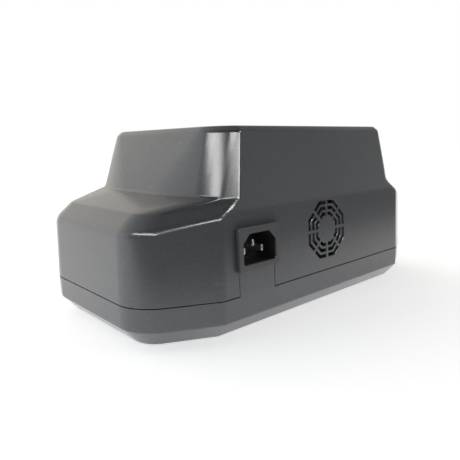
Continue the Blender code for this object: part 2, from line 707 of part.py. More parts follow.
def cover_boss_bores():
    """Return the pilot holes of the cover's posts."""
    depth = SCREW_GRIP + 2 * MM
    return merged(*[rod(BOSS_BORE, depth + 2 * MM, (x, y, SEAM_Z + depth / 2 - MM), sides=16)
                    for x, y in screw_places()])


def fan_corners():
    """Return the four hole places of the fan on the back panel."""
    half = FAN_HOLE_PITCH / 2
    return [(FAN_X + sx * half, FAN_Z + sz * half) for sx in (-1, 1) for sz in (-1, 1)]


def fan_posts(radius, start, end, sides):
    """Return a rod at each fan screw, between two depths behind the back face."""
    return merged(*[rod(radius, end - start, (x, (start + end) / 2, z), axis="Y", sides=sides)
                    for x, z in fan_corners()])


def grille_slot(inner, outer, index):
    """Return the outline of one slot, bent round a corner of the octagon between two spokes."""
    half_spoke = GRILLE_SPOKE / 2
    corner = 1 / math.cos(math.pi / 8)
    first, last = index * math.pi / 4, (index + 1) * math.pi / 4
    middle = (first + last) / 2

    def on_flat(distance, angle, side):
        return (distance * math.cos(angle) - side * math.sin(angle),
                distance * math.sin(angle) + side * math.cos(angle))

    return [on_flat(outer, first, half_spoke), on_flat(outer * corner, middle, 0),
            on_flat(outer, last, -half_spoke), on_flat(inner, last, -half_spoke),
            on_flat(inner * corner, middle, 0), on_flat(inner, first, half_spoke)]


def back_openings():
    """Return the grille slots and the notch for the inlet and the tray's tab."""
    depth = 4 * WALL
    shapes = []
    for ring in range(GRILLE_RINGS):
        outer = GRILLE_ACROSS / 2 - ring * (GRILLE_SLOT + GRILLE_BAR)
        for index in range(8):
            outline = grille_slot(outer - GRILLE_SLOT, outer, index)
            slot = prism(outline, depth / 2 + WALL, axis="Y", base=-WALL - WALL / 2)
            shapes.append(moved(slot, (FAN_X, 0, FAN_Z)))
    notch_width = INLET_BODY_WIDTH + 2 * FIT_GAP
    notch_top = INLET_Z + INLET_BODY_HEIGHT / 2 + FIT_GAP
    height = notch_top + 4 * WALL
    shapes.append(block((notch_width, depth, height), (INLET_X, 0, notch_top - height / 2)))
    return merged(*shapes)


def lamp_places():
    """Return the x of each status lamp on the front."""
    return [LAMP_X + i * LAMP_PITCH for i in (-1, 0, 1)]


def front_openings():
    """Return the holes in the front wall for the lead grommet and the status lamps."""
    shapes = [rod(GROMMET_NECK + FIT_GAP, 6 * WALL, (GROMMET_X, 0, GROMMET_Z), axis="Y", sides=24)]
    shapes += [rod(LAMP_RADIUS + FIT_GAP, 6 * WALL, (x, 0, LAMP_Z), axis="Y", sides=16) for x in lamp_places()]
    return merged(*shapes)


def build_tray(shop, finish):
    """Make the bottom tray: a shallow pan with a chamfered foot, a seam lip and the inlet tab."""
    edge = TRAY_EDGE_RADIUS * math.tan(22.5 * DEG)
    foot_inset = TRAY_TAPER + TRAY_CHAMFER
    lift = edge * math.sqrt(0.5)
    outlines = [body_section(foot_inset + edge, -TRAY_HEIGHT),
                body_section(foot_inset - lift, -TRAY_HEIGHT + lift),
                body_section(TRAY_TAPER, -TRAY_WALL_HEIGHT),
                body_section(0.0, 0.0), body_section(0.0, LIP_HEIGHT + SPARE / 2)]
    rings = [outline.ring() for outline in outlines]
    bm = bmesh.new()
    for lower, upper in zip(rings, rings[1:]):
        strip(bm, lower, upper)
    polygon(bm, rings[0])
    bmesh.ops.remove_doubles(bm, verts=bm.verts, dist=WELD)
    tray = shop.piece("bottom_tray", bm, finish, sharp=20 * DEG)
    mirror_x(tray)
    thicken(tray)
    lip, rim = WALL - LIP_THICKNESS, -SEAM_GAP / 2
    boolean(tray, seam_cutter(shop, "tray_seam", [(-SPARE, rim), (lip, rim), (lip, LIP_HEIGHT),
                                                  (WALL + SPARE, LIP_HEIGHT), (WALL + SPARE, LIP_HEIGHT + SPARE),
                                                  (-SPARE, LIP_HEIGHT + SPARE)][::-1]), "DIFFERENCE")
    boolean(tray, shop.shape("tray_tab", tray_tab()), "UNION")
    boolean(tray, shop.shape("tray_posts", tray_posts()), "UNION")
    boolean(tray, shop.shape("tray_openings", tray_openings()), "DIFFERENCE")
    ways = merged(*[rod(BOSS_BORE, 2 * BOSS_SHELF, (x, y, SEAM_Z - BOSS_SHELF / 2), sides=16)
                    for x, y in screw_places()])
    boolean(tray, shop.shape("screw_ways", ways), "DIFFERENCE")
    return tray


def tray_tab():
    """Return the tab that stands up behind the inlet flange and closes the cover's notch."""
    top = INLET_Z - INLET_BODY_HEIGHT / 2 - FIT_GAP
    lean = math.tan(COVER_DRAFT)
    skin = 0.03 * MM
    root = 5 * MM
    profile = [(BACK_Y - skin, -SEAM_GAP / 2), (BACK_Y - top * lean, top), (BACK_Y - top * lean - WALL, top),
               (BACK_Y - WALL - TRAY_TAPER / 2, -root), (BACK_Y - WALL / 2, -root)]
    outline = [(y, SEAM_Z + z) for y, z in profile]
    return prism(outline, INLET_BODY_WIDTH, axis="X", base=INLET_X - INLET_BODY_WIDTH / 2)


def standoff_places():
    """Return the four places where the board is screwed down."""
    x, y = BOARD_LENGTH / 2 - STANDOFF_INSET, BOARD_DEPTH / 2 - STANDOFF_INSET
    return [(sx * x, BODY_Y + sy * y) for sx in (-1, 1) for sy in (-1, 1)]


def tray_posts():
    """Return the screw posts and the board standoffs that rise from the tray floor."""
    root = FLOOR_Z - WALL / 2
    post_top = SEAM_Z - FIT_GAP / 2
    standoff_top = FLOOR_Z + STANDOFF_HEIGHT
    shapes = [rod(TRAY_POST_RADIUS, post_top - root, (x, y, (post_top + root) / 2))
              for x, y in screw_places()]
    shapes += [rod(STANDOFF_RADIUS, standoff_top - root, (x, y, (standoff_top + root) / 2), sides=12)
               for x, y in standoff_places()]
    return merged(*shapes)


def foot_places():
    """Return the four places of the rubber feet."""
    return [(sx * FOOT_X, BODY_Y + sy * FOOT_Y) for sx in (-1, 1) for sy in (-1, 1)]


def tray_openings():
    """Return the screw wells, board pilot holes, foot recesses and intake slots."""
    shapes = []
    shelf_z = SEAM_Z - FIT_GAP / 2 - BOSS_SHELF
    shapes += [rod(TRAY_POST_BORE, shelf_z, (x, y, shelf_z / 2)) for x, y in screw_places()]
    pilot = STANDOFF_HEIGHT - MM
    for x, y in standoff_places():
        shapes.append(rod(BOARD_SCREW_RADIUS + FIT_GAP, pilot + MM,
                          (x, y, FLOOR_Z + STANDOFF_HEIGHT - pilot / 2 + MM / 2), sides=10))
    for x, y in foot_places():
        shapes.append(rod(FOOT_RADIUS + FIT_GAP, FOOT_RECESS + MM,
                          (x, y, FOOT_HEIGHT + FOOT_RECESS / 2 - MM / 2), sides=20))
    for i in range(VENT_COUNT):
        x = (i - (VENT_COUNT - 1) / 2) * VENT_PITCH
        shapes.append(round_block((VENT_WIDTH, VENT_LENGTH, 4 * WALL), VENT_CORNER,
                                  (x, BODY_Y + VENT_Y, FOOT_HEIGHT + WALL / 2), steps=1))
    return merged(*shapes)


def build_feet(shop, rubber):
    """Make the four rubber feet, each set in its recess."""
    edge = 0.8 * MM
    top = FOOT_HEIGHT + FOOT_RECESS - FIT_GAP
    profile = [(0, 0), (FOOT_RADIUS - edge, 0), (FOOT_RADIUS - edge * 0.3, edge * 0.3), (FOOT_RADIUS, edge),
               (FOOT_RADIUS, top), (0, top)]
    names = ("front_left", "back_left", "front_right", "back_right")
    for name, (x, y) in zip(names, foot_places()):
        shop.turned(f"rubber_foot_{name}", profile, rubber, place=(x, y, 0))


def build_case_screws(shop, steel):
    """Make the four screws that join the tray to the cover, driven up from below."""
    shelf = SEAM_Z - FIT_GAP / 2 - BOSS_SHELF - FIT_GAP
    recess = 1.2 * MM
    drive = 1.0 * MM
    profile = [(0, -SCREW_HEAD_HEIGHT + recess), (drive, -SCREW_HEAD_HEIGHT + recess),
               (drive, -SCREW_HEAD_HEIGHT), (SCREW_HEAD_RADIUS * 0.8, -SCREW_HEAD_HEIGHT),
               (SCREW_HEAD_RADIUS, -SCREW_HEAD_HEIGHT * 0.7), (SCREW_HEAD_RADIUS, 0), (SCREW_RADIUS, 0),
               (SCREW_RADIUS, BOSS_SHELF + SCREW_GRIP - 2 * MM), (0, BOSS_SHELF + SCREW_GRIP)]
    names = ("front_left", "back_left", "front_right", "back_right")
    for name, (x, y) in zip(names, screw_places()):
        shop.turned(f"case_screw_{name}", profile, steel, sides=12, place=(x, y, shelf))


def mouth_outline(grow=0.0):
    """Return the outline of the inlet's mouth: two cut corners above, two rounded corners below."""
    half_w = INLET_MOUTH_WIDTH / 2 + grow
    half_h = INLET_MOUTH_HEIGHT / 2 + grow
    cut = INLET_MOUTH_CHAMFER
    round_off = INLET_MOUTH_CORNER
    corner = [(half_w - round_off + round_off * math.sin(a), -half_h + round_off - round_off * math.cos(a))
              for a in (0, 30 * DEG, 60 * DEG, 90 * DEG)]
    right = [*corner, (half_w, half_h - cut), (half_w - cut, half_h)]
    return right + [(-x, z) for x, z in reversed(right)]


def pin_places():
    """Return the name and place of each pin within the mouth; the earth pin stands highest."""
    return (("live", -PIN_PITCH, -PIN_RISE / 2), ("earth", 0.0, PIN_RISE / 2), ("neutral", PIN_PITCH, -PIN_RISE / 2))


def build_inlet(shop, plastic, nickel):
    """Make the mains inlet: a flanged moulding with its mouth, snap lugs and three flat pins."""
    frame = shop.back_frame
    place = (INLET_X, 0, INLET_Z)
    face = FIT_GAP + INLET_FLANGE_THICKNESS
    body_length = INLET_BODY_DEPTH + WALL / 2
    bm = round_block((INLET_FLANGE_WIDTH, INLET_FLANGE_HEIGHT, INLET_FLANGE_THICKNESS), INLET_FLANGE_CORNER)
    bmesh.ops.rotate(bm, cent=(0, 0, 0), matrix=Matrix.Rotation(math.pi / 2, 3, "X"), verts=bm.verts)
    moved(bm, (0, FIT_GAP + INLET_FLANGE_THICKNESS / 2, 0))
    inlet = shop.piece("mains_inlet", bm, plastic, place=place, frame=frame)
    body_end = FIT_GAP + INLET_FLANGE_THICKNESS / 2
    body = block((INLET_BODY_WIDTH, body_length, INLET_BODY_HEIGHT), (0, body_end - body_length / 2, 0))
    boolean(inlet, shop.shape("inlet_body", body, place=place, frame=frame), "UNION")
    hook = -WALL - 2 * FIT_GAP
    side = INLET_BODY_WIDTH / 2
    wedge = [(side - MM, hook), (side + INLET_LUG, hook), (side, hook - 4 * MM), (side - MM, hook - 4 * MM)]
    lug_height = 6 * MM
    lugs = merged(prism(wedge, lug_height, base=-lug_height / 2),
                  prism([(-x, y) for x, y in reversed(wedge)], lug_height, base=-lug_height / 2))
    boolean(inlet, shop.shape("inlet_lugs", lugs, place=place, frame=frame), "UNION")
    rear = body_end - body_length
    cavity = prism(mouth_outline(), face - rear - INLET_REAR_WALL + MM, axis="Y", base=rear + INLET_REAR_WALL)
    slots = [block((PIN_WIDTH + 2 * FIT_GAP, 4 * INLET_REAR_WALL, PIN_HEIGHT + 2 * FIT_GAP), (x, rear, z))
             for _, x, z in pin_places()]
    boolean(inlet, shop.shape("inlet_mouth", cavity, place=place, frame=frame), "DIFFERENCE")
    boolean(inlet, shop.shape("inlet_pin_slots", merged(*slots), place=place, frame=frame), "DIFFERENCE")
    tip = face - PIN_SETBACK
    tail = rear - PIN_TAG_LENGTH
    for name, x, z in pin_places():
        bm = block((PIN_WIDTH, tip - tail, PIN_HEIGHT), (0, (tip + tail) / 2, 0))
        ends = [e for e in bm.edges if all(v.co.y > 0 for v in e.verts)]
        bmesh.ops.bevel(bm, geom=ends, offset=0.5 * MM, segments=1, profile=0.5, affect="EDGES", material=-1)
        shop.piece(f"inlet_pin_{name}", bm, nickel, place=(INLET_X + x, 0, INLET_Z + z), frame=frame)
    return tail


def build_mains_wires(shop, tail, finishes):
    """Make the three wires from the inlet's tags down to the board."""
    panel = Matrix.Translation((0, BACK_Y, SEAM_Z)) @ Matrix.Rotation(COVER_DRAFT, 4, "X")
    landing = BOARD_TOP + FIT_GAP
    for (name, x, z), finish in zip(pin_places(), finishes):
        tag = panel @ Vector((INLET_X + x, tail - FIT_GAP, INLET_Z + z))
        drop_y = tag.y - MAINS_WIRE_BEND
        stops = [tag, tag - Vector((0, MAINS_WIRE_BEND / 2, 0)), Vector((tag.x, drop_y, tag.z - MAINS_WIRE_BEND)),
                 Vector((tag.x + x * 0.3, drop_y, (tag.z + landing) / 2)), Vector((tag.x + x * 0.3, drop_y, landing))]
        wire(shop, f"inlet_wire_{name}", stops, MAINS_WIRE_RADIUS, finish)


def build_fan(shop, finishes):
    """Make the fan: frame with struts, bearing, stator, rotor, screws and leads."""
    frame = shop.back_frame
    face = -WALL - FAN_BOSS_HEIGHT - FIT_GAP
    place = (FAN_X, face, FAN_Z)
    build_fan_frame(shop, finishes["fan_plastic"], place)
    tube_inner = FAN_TUBE_RADIUS - FAN_TUBE_WALL
    bearing_outer = tube_inner - FIT_GAP
    bearing_start = -FAN_BASE_THICKNESS - 0.1 * MM
    bearing_length = 4.4 * MM
    bearing = [(bearing_outer - FAN_BEARING_WALL, bearing_start), (bearing_outer, bearing_start),
               (bearing_outer, bearing_start - bearing_length),
               (bearing_outer - FAN_BEARING_WALL, bearing_start - bearing_length)]
    shop.turned("fan_bearing", bearing, finishes["brass"], place=place, frame=frame, turn=ALONG_Y)
    stator_inner = FAN_TUBE_RADIUS + FIT_GAP
    stator_start = -FAN_BASE_THICKNESS - FIT_GAP
    stator = [(stator_inner, stator_start), (FAN_STATOR_RADIUS, stator_start),
              (FAN_STATOR_RADIUS, stator_start - FAN_STATOR_HEIGHT),
              (stator_inner, stator_start - FAN_STATOR_HEIGHT)]
    shop.turned("fan_stator", stator, finishes["copper"], place=place, frame=frame, turn=ALONG_Y)
    build_fan_rotor(shop, finishes["fan_plastic"], place, bearing_outer - FAN_BEARING_WALL)
    names = ("right_low", "right_high", "left_low", "left_high")
    back = face - FAN_THICKNESS - FIT_GAP
    reach = -WALL - 2 * FIT_GAP - back
    profile = [(0, -FAN_SCREW_HEAD), (FAN_SCREW_HEAD_RADIUS * 0.8, -FAN_SCREW_HEAD),
               (FAN_SCREW_HEAD_RADIUS, -FAN_SCREW_HEAD / 2), (FAN_SCREW_HEAD_RADIUS, 0), (FAN_SCREW_RADIUS, 0),
               (FAN_SCREW_RADIUS, reach - MM), (0, reach)]
    for name, (x, z) in zip(names, fan_corners()):
        shop.turned(f"fan_screw_{name}", profile, finishes["steel"], sides=12, place=(x, back, z), frame=frame,
                    turn=ALONG_Y)
    build_fan_leads(shop, finishes, face)


def build_fan_frame(shop, plastic, place):
    """Make the fan frame: a square moulding with a round duct, three struts and the motor seat."""
    middle = -FAN_THICKNESS / 2
    bm = round_block((FAN_SIZE, FAN_SIZE, FAN_THICKNESS), 3 * MM)
    bmesh.ops.rotate(bm, cent=(0, 0, 0), matrix=Matrix.Rotation(math.pi / 2, 3, "X"), verts=bm.verts)
    moved(bm, (0, middle, 0))
    body = shop.piece("fan_frame", bm, plastic, place=place, frame=shop.back_frame)
    duct = rod(FAN_DUCT_RADIUS, 2 * FAN_THICKNESS, (0, middle, 0), axis="Y", sides=32)
    boolean(body, shop.shape("fan_duct", duct, place=place, frame=shop.back_frame), "DIFFERENCE")
    half = FAN_HOLE_PITCH / 2
    holes = [rod(FAN_SCREW_RADIUS + FIT_GAP, 2 * FAN_THICKNESS, (sx * half, middle, sz * half), axis="Y", sides=12)
             for sx in (-1, 1) for sz in (-1, 1)]
    boolean(body, shop.shape("fan_holes", merged(*holes), place=place, frame=shop.back_frame), "DIFFERENCE")
    reach = FAN_DUCT_RADIUS + 0.5 * MM
    for i in range(FAN_STRUTS):
        bm = block((reach, FAN_BASE_THICKNESS, FAN_STRUT_WIDTH), (reach / 2, -FAN_BASE_THICKNESS / 2, 0))
        angle = -(FAN_STRUT_ANGLE + i * 2 * math.pi / FAN_STRUTS)
        strut = shop.shape(f"fan_strut_{i + 1}", bm, place=place, turn=(0, angle, 0), frame=shop.back_frame)
        boolean(body, strut, "UNION")
    inner = FAN_TUBE_RADIUS - FAN_TUBE_WALL
    tube_end = -FAN_BASE_THICKNESS - 4.6 * MM
    seat_top = -0.05 * MM
    seat = [(0, seat_top), (FAN_BASE_RADIUS, seat_top), (FAN_BASE_RADIUS, -FAN_BASE_THICKNESS + 0.05 * MM),
            (FAN_TUBE_RADIUS, -FAN_BASE_THICKNESS + 0.05 * MM), (FAN_TUBE_RADIUS, tube_end), (inner, tube_end),
            (inner, -0.8 * MM), (0, -0.8 * MM)]
    lathe = shop.shape("fan_seat", profile_line(seat), place=place, frame=shop.back_frame, turn=ALONG_Y)
    boolean(body, screw(lathe, 28), "UNION")


def build_fan_rotor(shop, plastic, place, bearing_bore):
    """Make the rotor: a cup-shaped hub with its shaft and seven twisted blades."""
    running = 0.6 * MM
    open_end = -FAN_BASE_THICKNESS - running
    closed_end = open_end - FAN_HUB_HEIGHT
    inner = FAN_HUB_RADIUS - FAN_HUB_WALL
    shaft = bearing_bore - FAN_SHAFT_CLEARANCE
    profile = [(0, closed_end), (FAN_HUB_RADIUS - 0.6 * MM, closed_end), (FAN_HUB_RADIUS, closed_end + 0.6 * MM),
               (FAN_HUB_RADIUS, open_end), (inner, open_end), (inner, closed_end + FAN_HUB_WALL),
               (shaft, closed_end + FAN_HUB_WALL), (shaft, open_end - 0.1 * MM), (0, open_end - 0.1 * MM)]
    rotor = shop.piece("fan_rotor", profile_line(profile), plastic, place=place, frame=shop.back_frame,
                       turn=ALONG_Y)
    screw(rotor, 28)
    root = FAN_HUB_RADIUS - 0.6 * MM
    axial = (open_end + closed_end) / 2
    for i in range(FAN_BLADES):
        bm = blade(root, FAN_BLADE_TIP, axial)
        fin = shop.shape(f"fan_blade_{i + 1}", bm, place=place, turn=(0, i * 2 * math.pi / FAN_BLADES, 0),
                         frame=shop.back_frame)
        boolean(rotor, fin, "UNION")


def blade(root, tip, axial):
    """Return one twisted blade along +X, with the fan axis along Y."""
    bm = bmesh.new()
    bmesh.ops.create_cube(bm, size=1)
    bmesh.ops.subdivide_edges(bm, edges=[e for e in bm.edges if abs(e.verts[0].co.x - e.verts[1].co.x) > 0.5],
                              cuts=2, use_grid_fill=True)
    for vert in bm.verts:
        share = vert.co.x + 0.5
        pitch = FAN_BLADE_PITCH_ROOT + (FAN_BLADE_PITCH_TIP - FAN_BLADE_PITCH_ROOT) * share
        chord = vert.co.z * FAN_BLADE_CHORD
        thick = vert.co.y * FAN_BLADE_THICKNESS
        vert.co = Vector((root + (tip - root) * share,
                          axial + chord * math.sin(pitch) + thick * math.cos(pitch),
                          chord * math.cos(pitch) - thick * math.sin(pitch)))
    return bm


def build_fan_leads(shop, finishes, face):
    """Make the two fan leads: out along a strut, over the frame and down to the board."""
    panel = Matrix.Translation((0, BACK_Y, SEAM_Z)) @ Matrix.Rotation(COVER_DRAFT, 4, "X")
    along = Vector((math.cos(FAN_STRUT_ANGLE), 0, math.sin(FAN_STRUT_ANGLE)))
    across = Vector((-along.z, 0, along.x))
    rest = face + FIT_GAP + FAN_LEAD_RADIUS
    top = FAN_SIZE / 2 + FIT_GAP + FAN_LEAD_RADIUS
    behind = face - FAN_THICKNESS - FAN_SCREW_HEAD - 2 * MM
    landing = BOARD_TOP + FIT_GAP
    hub = Vector((FAN_X, 0, FAN_Z))
    for name, side, finish in (("red", 1, finishes["red_wire"]), ("black", -1, finishes["black_wire"])):
        offset = across * side * (FAN_LEAD_RADIUS + FIT_GAP / 2)
        local = [hub + along * 4 * MM + offset, hub + along * 11 * MM + offset, hub + along * 17 * MM + offset]
        local = [Vector((p.x, rest, p.z)) for p in local]
        exit_x = local[-1].x
        local += [Vector((exit_x, rest - 0.5 * MM, FAN_Z + top + 0.1 * MM)),
                  Vector((exit_x, face - FAN_THICKNESS / 2, FAN_Z + top + 0.4 * MM)),
                  Vector((exit_x, behind, FAN_Z + top - 2 * MM)),
                  Vector((exit_x, behind - MM, FAN_Z))]
        stops = [panel @ p for p in local]
        stops.append(Vector((stops[-1].x, stops[-1].y, landing)))
        wire(shop, f"fan_lead_{name}", stops, FAN_LEAD_RADIUS, finish)


def build_board(shop, finishes):
    """Make the circuit board and the four screws that hold it to the tray."""
    bm = round_block((BOARD_LENGTH, BOARD_DEPTH, BOARD_THICKNESS), BOARD_CORNER)
    board = shop.piece("main_board", bm, finishes["board"], place=(0, BODY_Y, BOARD_Z + BOARD_THICKNESS / 2))
    holes = merged(*[rod(BOARD_SCREW_RADIUS + FIT_GAP, 4 * BOARD_THICKNESS, (x, y, BOARD_Z), sides=12)
                     for x, y in standoff_places()])
    boolean(board, shop.shape("board_holes", holes), "DIFFERENCE")
    profile = [(0, -STANDOFF_HEIGHT), (BOARD_SCREW_RADIUS, -STANDOFF_HEIGHT + MM), (BOARD_SCREW_RADIUS, 0),
               (BOARD_SCREW_HEAD_RADIUS, 0), (BOARD_SCREW_HEAD_RADIUS, BOARD_SCREW_HEAD * 0.5),
               (BOARD_SCREW_HEAD_RADIUS * 0.8, BOARD_SCREW_HEAD), (0, BOARD_SCREW_HEAD)]
    names = ("front_left", "back_left", "front_right", "back_right")
    for name, (x, y) in zip(names, standoff_places()):
        shop.turned(f"board_screw_{name}", profile, finishes["steel"], sides=12, place=(x, y, PART_Z))


def can_capacitor(shop, name, x, y, radius, height, finish):
    """Add an electrolytic capacitor: a turned can with a rolled groove near its base."""
    groove = min(0.5 * MM, radius * 0.06)
    bead = 3 * MM
    profile = [(0, 0), (radius - 0.4 * MM, 0), (radius, 0.5 * MM), (radius, bead - MM), (radius - groove, bead),
               (radius, bead + MM), (radius, height - 0.6 * MM), (radius - 0.8 * MM, height),
               (radius - 1.6 * MM, height - 0.3 * MM), (0, height - 0.3 * MM)]
    shop.turned(name, profile, finish, sides=18, place=(x, y, PART_Z))


def toroid(shop, name, x, y, radius, hole, height, finish):
    """Add a wound ring standing flat on the board, with its edges cut back."""
    edge = CHOKE_EDGE
    profile = [(hole, edge), (hole + edge, 0), (radius - edge, 0), (radius, edge), (radius, height - edge),
               (radius - edge, height), (hole + edge, height), (hole, height - edge)]
    shop.turned(name, profile, finish, place=(x, y, PART_Z))


def finned_sink(shop, name, x, y, length, depth, fins, finish):
    """Add an extruded heat sink: an upright plate with fins along one side."""
    pitch = (length - SINK_FIN) / (fins - 1)
    outline = [(-length / 2, 0), (length / 2, 0)]
    for i in reversed(range(fins)):
        left = -length / 2 + i * pitch
        outline += [(left + SINK_FIN, depth), (left, depth)]
        if i:
            outline += [(left, SINK_PLATE), (left - pitch + SINK_FIN, SINK_PLATE)]
    shop.piece(name, prism(outline, SINK_HEIGHT), finish, place=(x, y, PART_Z))


def build_transformer(shop, finishes):
    """Make the transformer: an E core pair and the winding round its middle leg."""
    window = (CORE_LENGTH - CORE_LEG - 2 * CORE_YOKE) / 2
    window_height = CORE_HEIGHT - 2 * CORE_YOKE
    place = (CORE_X, BODY_Y + CORE_Y, PART_Z)
    middle = (CORE_X, BODY_Y + CORE_Y, PART_Z + CORE_HEIGHT / 2)
    core = shop.piece("transformer_core", block((CORE_LENGTH, CORE_DEPTH, CORE_HEIGHT), (0, 0, CORE_HEIGHT / 2)),
                      finishes["ferrite"], place=place)
    windows = merged(*[block((window, 2 * CORE_DEPTH, window_height), (side * (CORE_LEG + window) / 2, 0, 0))
                       for side in (-1, 1)])
    boolean(core, shop.shape("core_windows", windows, place=middle), "DIFFERENCE")
    coil = round_block((CORE_LEG + 2 * (window - FIT_GAP), CORE_DEPTH + 2 * window, window_height - 2 * FIT_GAP),
                       window / 2)
    winding = shop.piece("transformer_winding", coil, finishes["tape"], place=middle)
    hole = block((CORE_LEG + 2 * FIT_GAP, CORE_DEPTH + 2 * FIT_GAP, 2 * CORE_HEIGHT))
    boolean(winding, shop.shape("winding_hole", hole, place=middle), "DIFFERENCE")


def from_end(side, gap):
    """Return the x of a part that stands in from one end of the board; side is 1 or -1."""
    return side * (BOARD_LENGTH / 2 - gap)


def from_front(gap):
    """Return the y of a part that stands in from the board's front edge."""
    return BODY_Y - BOARD_DEPTH / 2 + gap


def from_back(gap):
    """Return the y of a part that stands in from the board's back edge."""
    return BODY_Y + BOARD_DEPTH / 2 - gap


def box_part(shop, name, x, y, size, finish):
    """Add a boxed component that stands on the board."""
    shop.piece(name, round_block(size, BOX_EDGE, (0, 0, size[2] / 2), steps=1), finish, place=(x, y, PART_Z))


def build_power_parts(shop, finishes):
    """Make the parts soldered to the board: mains side on +X, battery side on -X."""
    build_transformer(shop, finishes)
    for i, gap in enumerate(BULK_CAPACITORS_FROM_FRONT):
        can_capacitor(shop, f"bulk_capacitor_{i + 1}", from_end(1, BULK_CAPACITOR_FROM_END), from_front(gap),
                      BULK_CAPACITOR_RADIUS, BULK_CAPACITOR_HEIGHT, finishes["sleeve"])
    for i, gap in enumerate(OUTPUT_CAPACITORS_FROM_FRONT):
        can_capacitor(shop, f"output_capacitor_{i + 1}", from_end(-1, OUTPUT_CAPACITOR_FROM_END), from_front(gap),
                      OUTPUT_CAPACITOR_RADIUS, OUTPUT_CAPACITOR_HEIGHT, finishes["sleeve"])
    toroid(shop, "line_choke", from_end(1, LINE_CHOKE_FROM_END), BODY_Y, LINE_CHOKE_RADIUS, LINE_CHOKE_BORE,
           LINE_CHOKE_HEIGHT, finishes["copper"])
    toroid(shop, "output_choke", from_end(-1, OUTPUT_CHOKE_FROM_END), from_back(OUTPUT_CHOKE_FROM_BACK),
           OUTPUT_CHOKE_RADIUS, OUTPUT_CHOKE_BORE, OUTPUT_CHOKE_HEIGHT, finishes["copper"])
    box_part(shop, "filter_capacitor", FILTER_X, from_back(FILTER_FROM_BACK), FILTER_SIZE, finishes["yellow_box"])
    box_part(shop, "output_relay", from_end(-1, RELAY_FROM_END), from_back(RELAY_FROM_BACK), RELAY_SIZE,
             finishes["black_box"])
    box_part(shop, "bridge_rectifier", from_end(1, BRIDGE_FROM_END), from_front(BRIDGE_FROM_FRONT), BRIDGE_SIZE,
             finishes["black_box"])
    build_fuse(shop, finishes["glass"])
    sink_y = from_front(SWITCH_SINK_FROM_FRONT)
    finned_sink(shop, "switch_heat_sink", CORE_X, sink_y, SWITCH_SINK_LENGTH, SWITCH_SINK_DEPTH, SWITCH_SINK_FINS,
                finishes["aluminium"])
    for i, side in enumerate((-1, 1)):
        power_package(shop, f"switch_transistor_{i + 1}", CORE_X + side * TRANSISTOR_PITCH / 2, sink_y - FIT_GAP,
                      finishes["black_box"])
    sink_x, sink_y = from_end(-1, RECTIFIER_SINK_FROM_END), from_front(RECTIFIER_SINK_FROM_FRONT)
    finned_sink(shop, "rectifier_heat_sink", sink_x, sink_y, RECTIFIER_SINK_LENGTH, RECTIFIER_SINK_DEPTH,
                RECTIFIER_SINK_FINS, finishes["aluminium"])
    power_package(shop, "output_rectifier", sink_x, sink_y - FIT_GAP, finishes["black_box"])


def build_fuse(shop, glass):
    """Make the fuse: a glass tube between two end caps, lying on the board."""
    waist = FUSE_RADIUS - FUSE_STEP
    profile = [(0, 0), (FUSE_RADIUS, 0), (FUSE_RADIUS, FUSE_CAP), (waist, FUSE_CAP + FUSE_STEP),
               (waist, FUSE_LENGTH - FUSE_CAP - FUSE_STEP), (FUSE_RADIUS, FUSE_LENGTH - FUSE_CAP),
               (FUSE_RADIUS, FUSE_LENGTH), (0, FUSE_LENGTH)]
    shop.turned("mains_fuse", profile, glass, sides=14, turn=ALONG_Y,
                place=(from_end(1, FUSE_FROM_END), from_back(FUSE_FROM_BACK), PART_Z + FUSE_RADIUS))


def power_package(shop, name, x, face_y, finish):
    """Add a flat power package with its legs, standing on the board against a heat sink."""
    half = PACKAGE_LEG_WIDTH / 2
    outline = [(-half, 0), (half, 0), (half, PACKAGE_LEG_HEIGHT), (-half, PACKAGE_LEG_HEIGHT)]
    bm = prism(outline, PACKAGE_LEG_DEPTH, axis="Y", base=-(PACKAGE_DEPTH + PACKAGE_LEG_DEPTH) / 2)
    part = shop.piece(name, bm, finish, place=(x, face_y, PART_Z))
    body = block((PACKAGE_WIDTH, PACKAGE_DEPTH, PACKAGE_HEIGHT),
                 (0, -PACKAGE_DEPTH / 2, PACKAGE_LEG_HEIGHT - PACKAGE_OVERLAP + PACKAGE_HEIGHT / 2))
    boolean(part, shop.shape(f"{name}_body", body, place=(x, face_y, PART_Z)), "UNION")


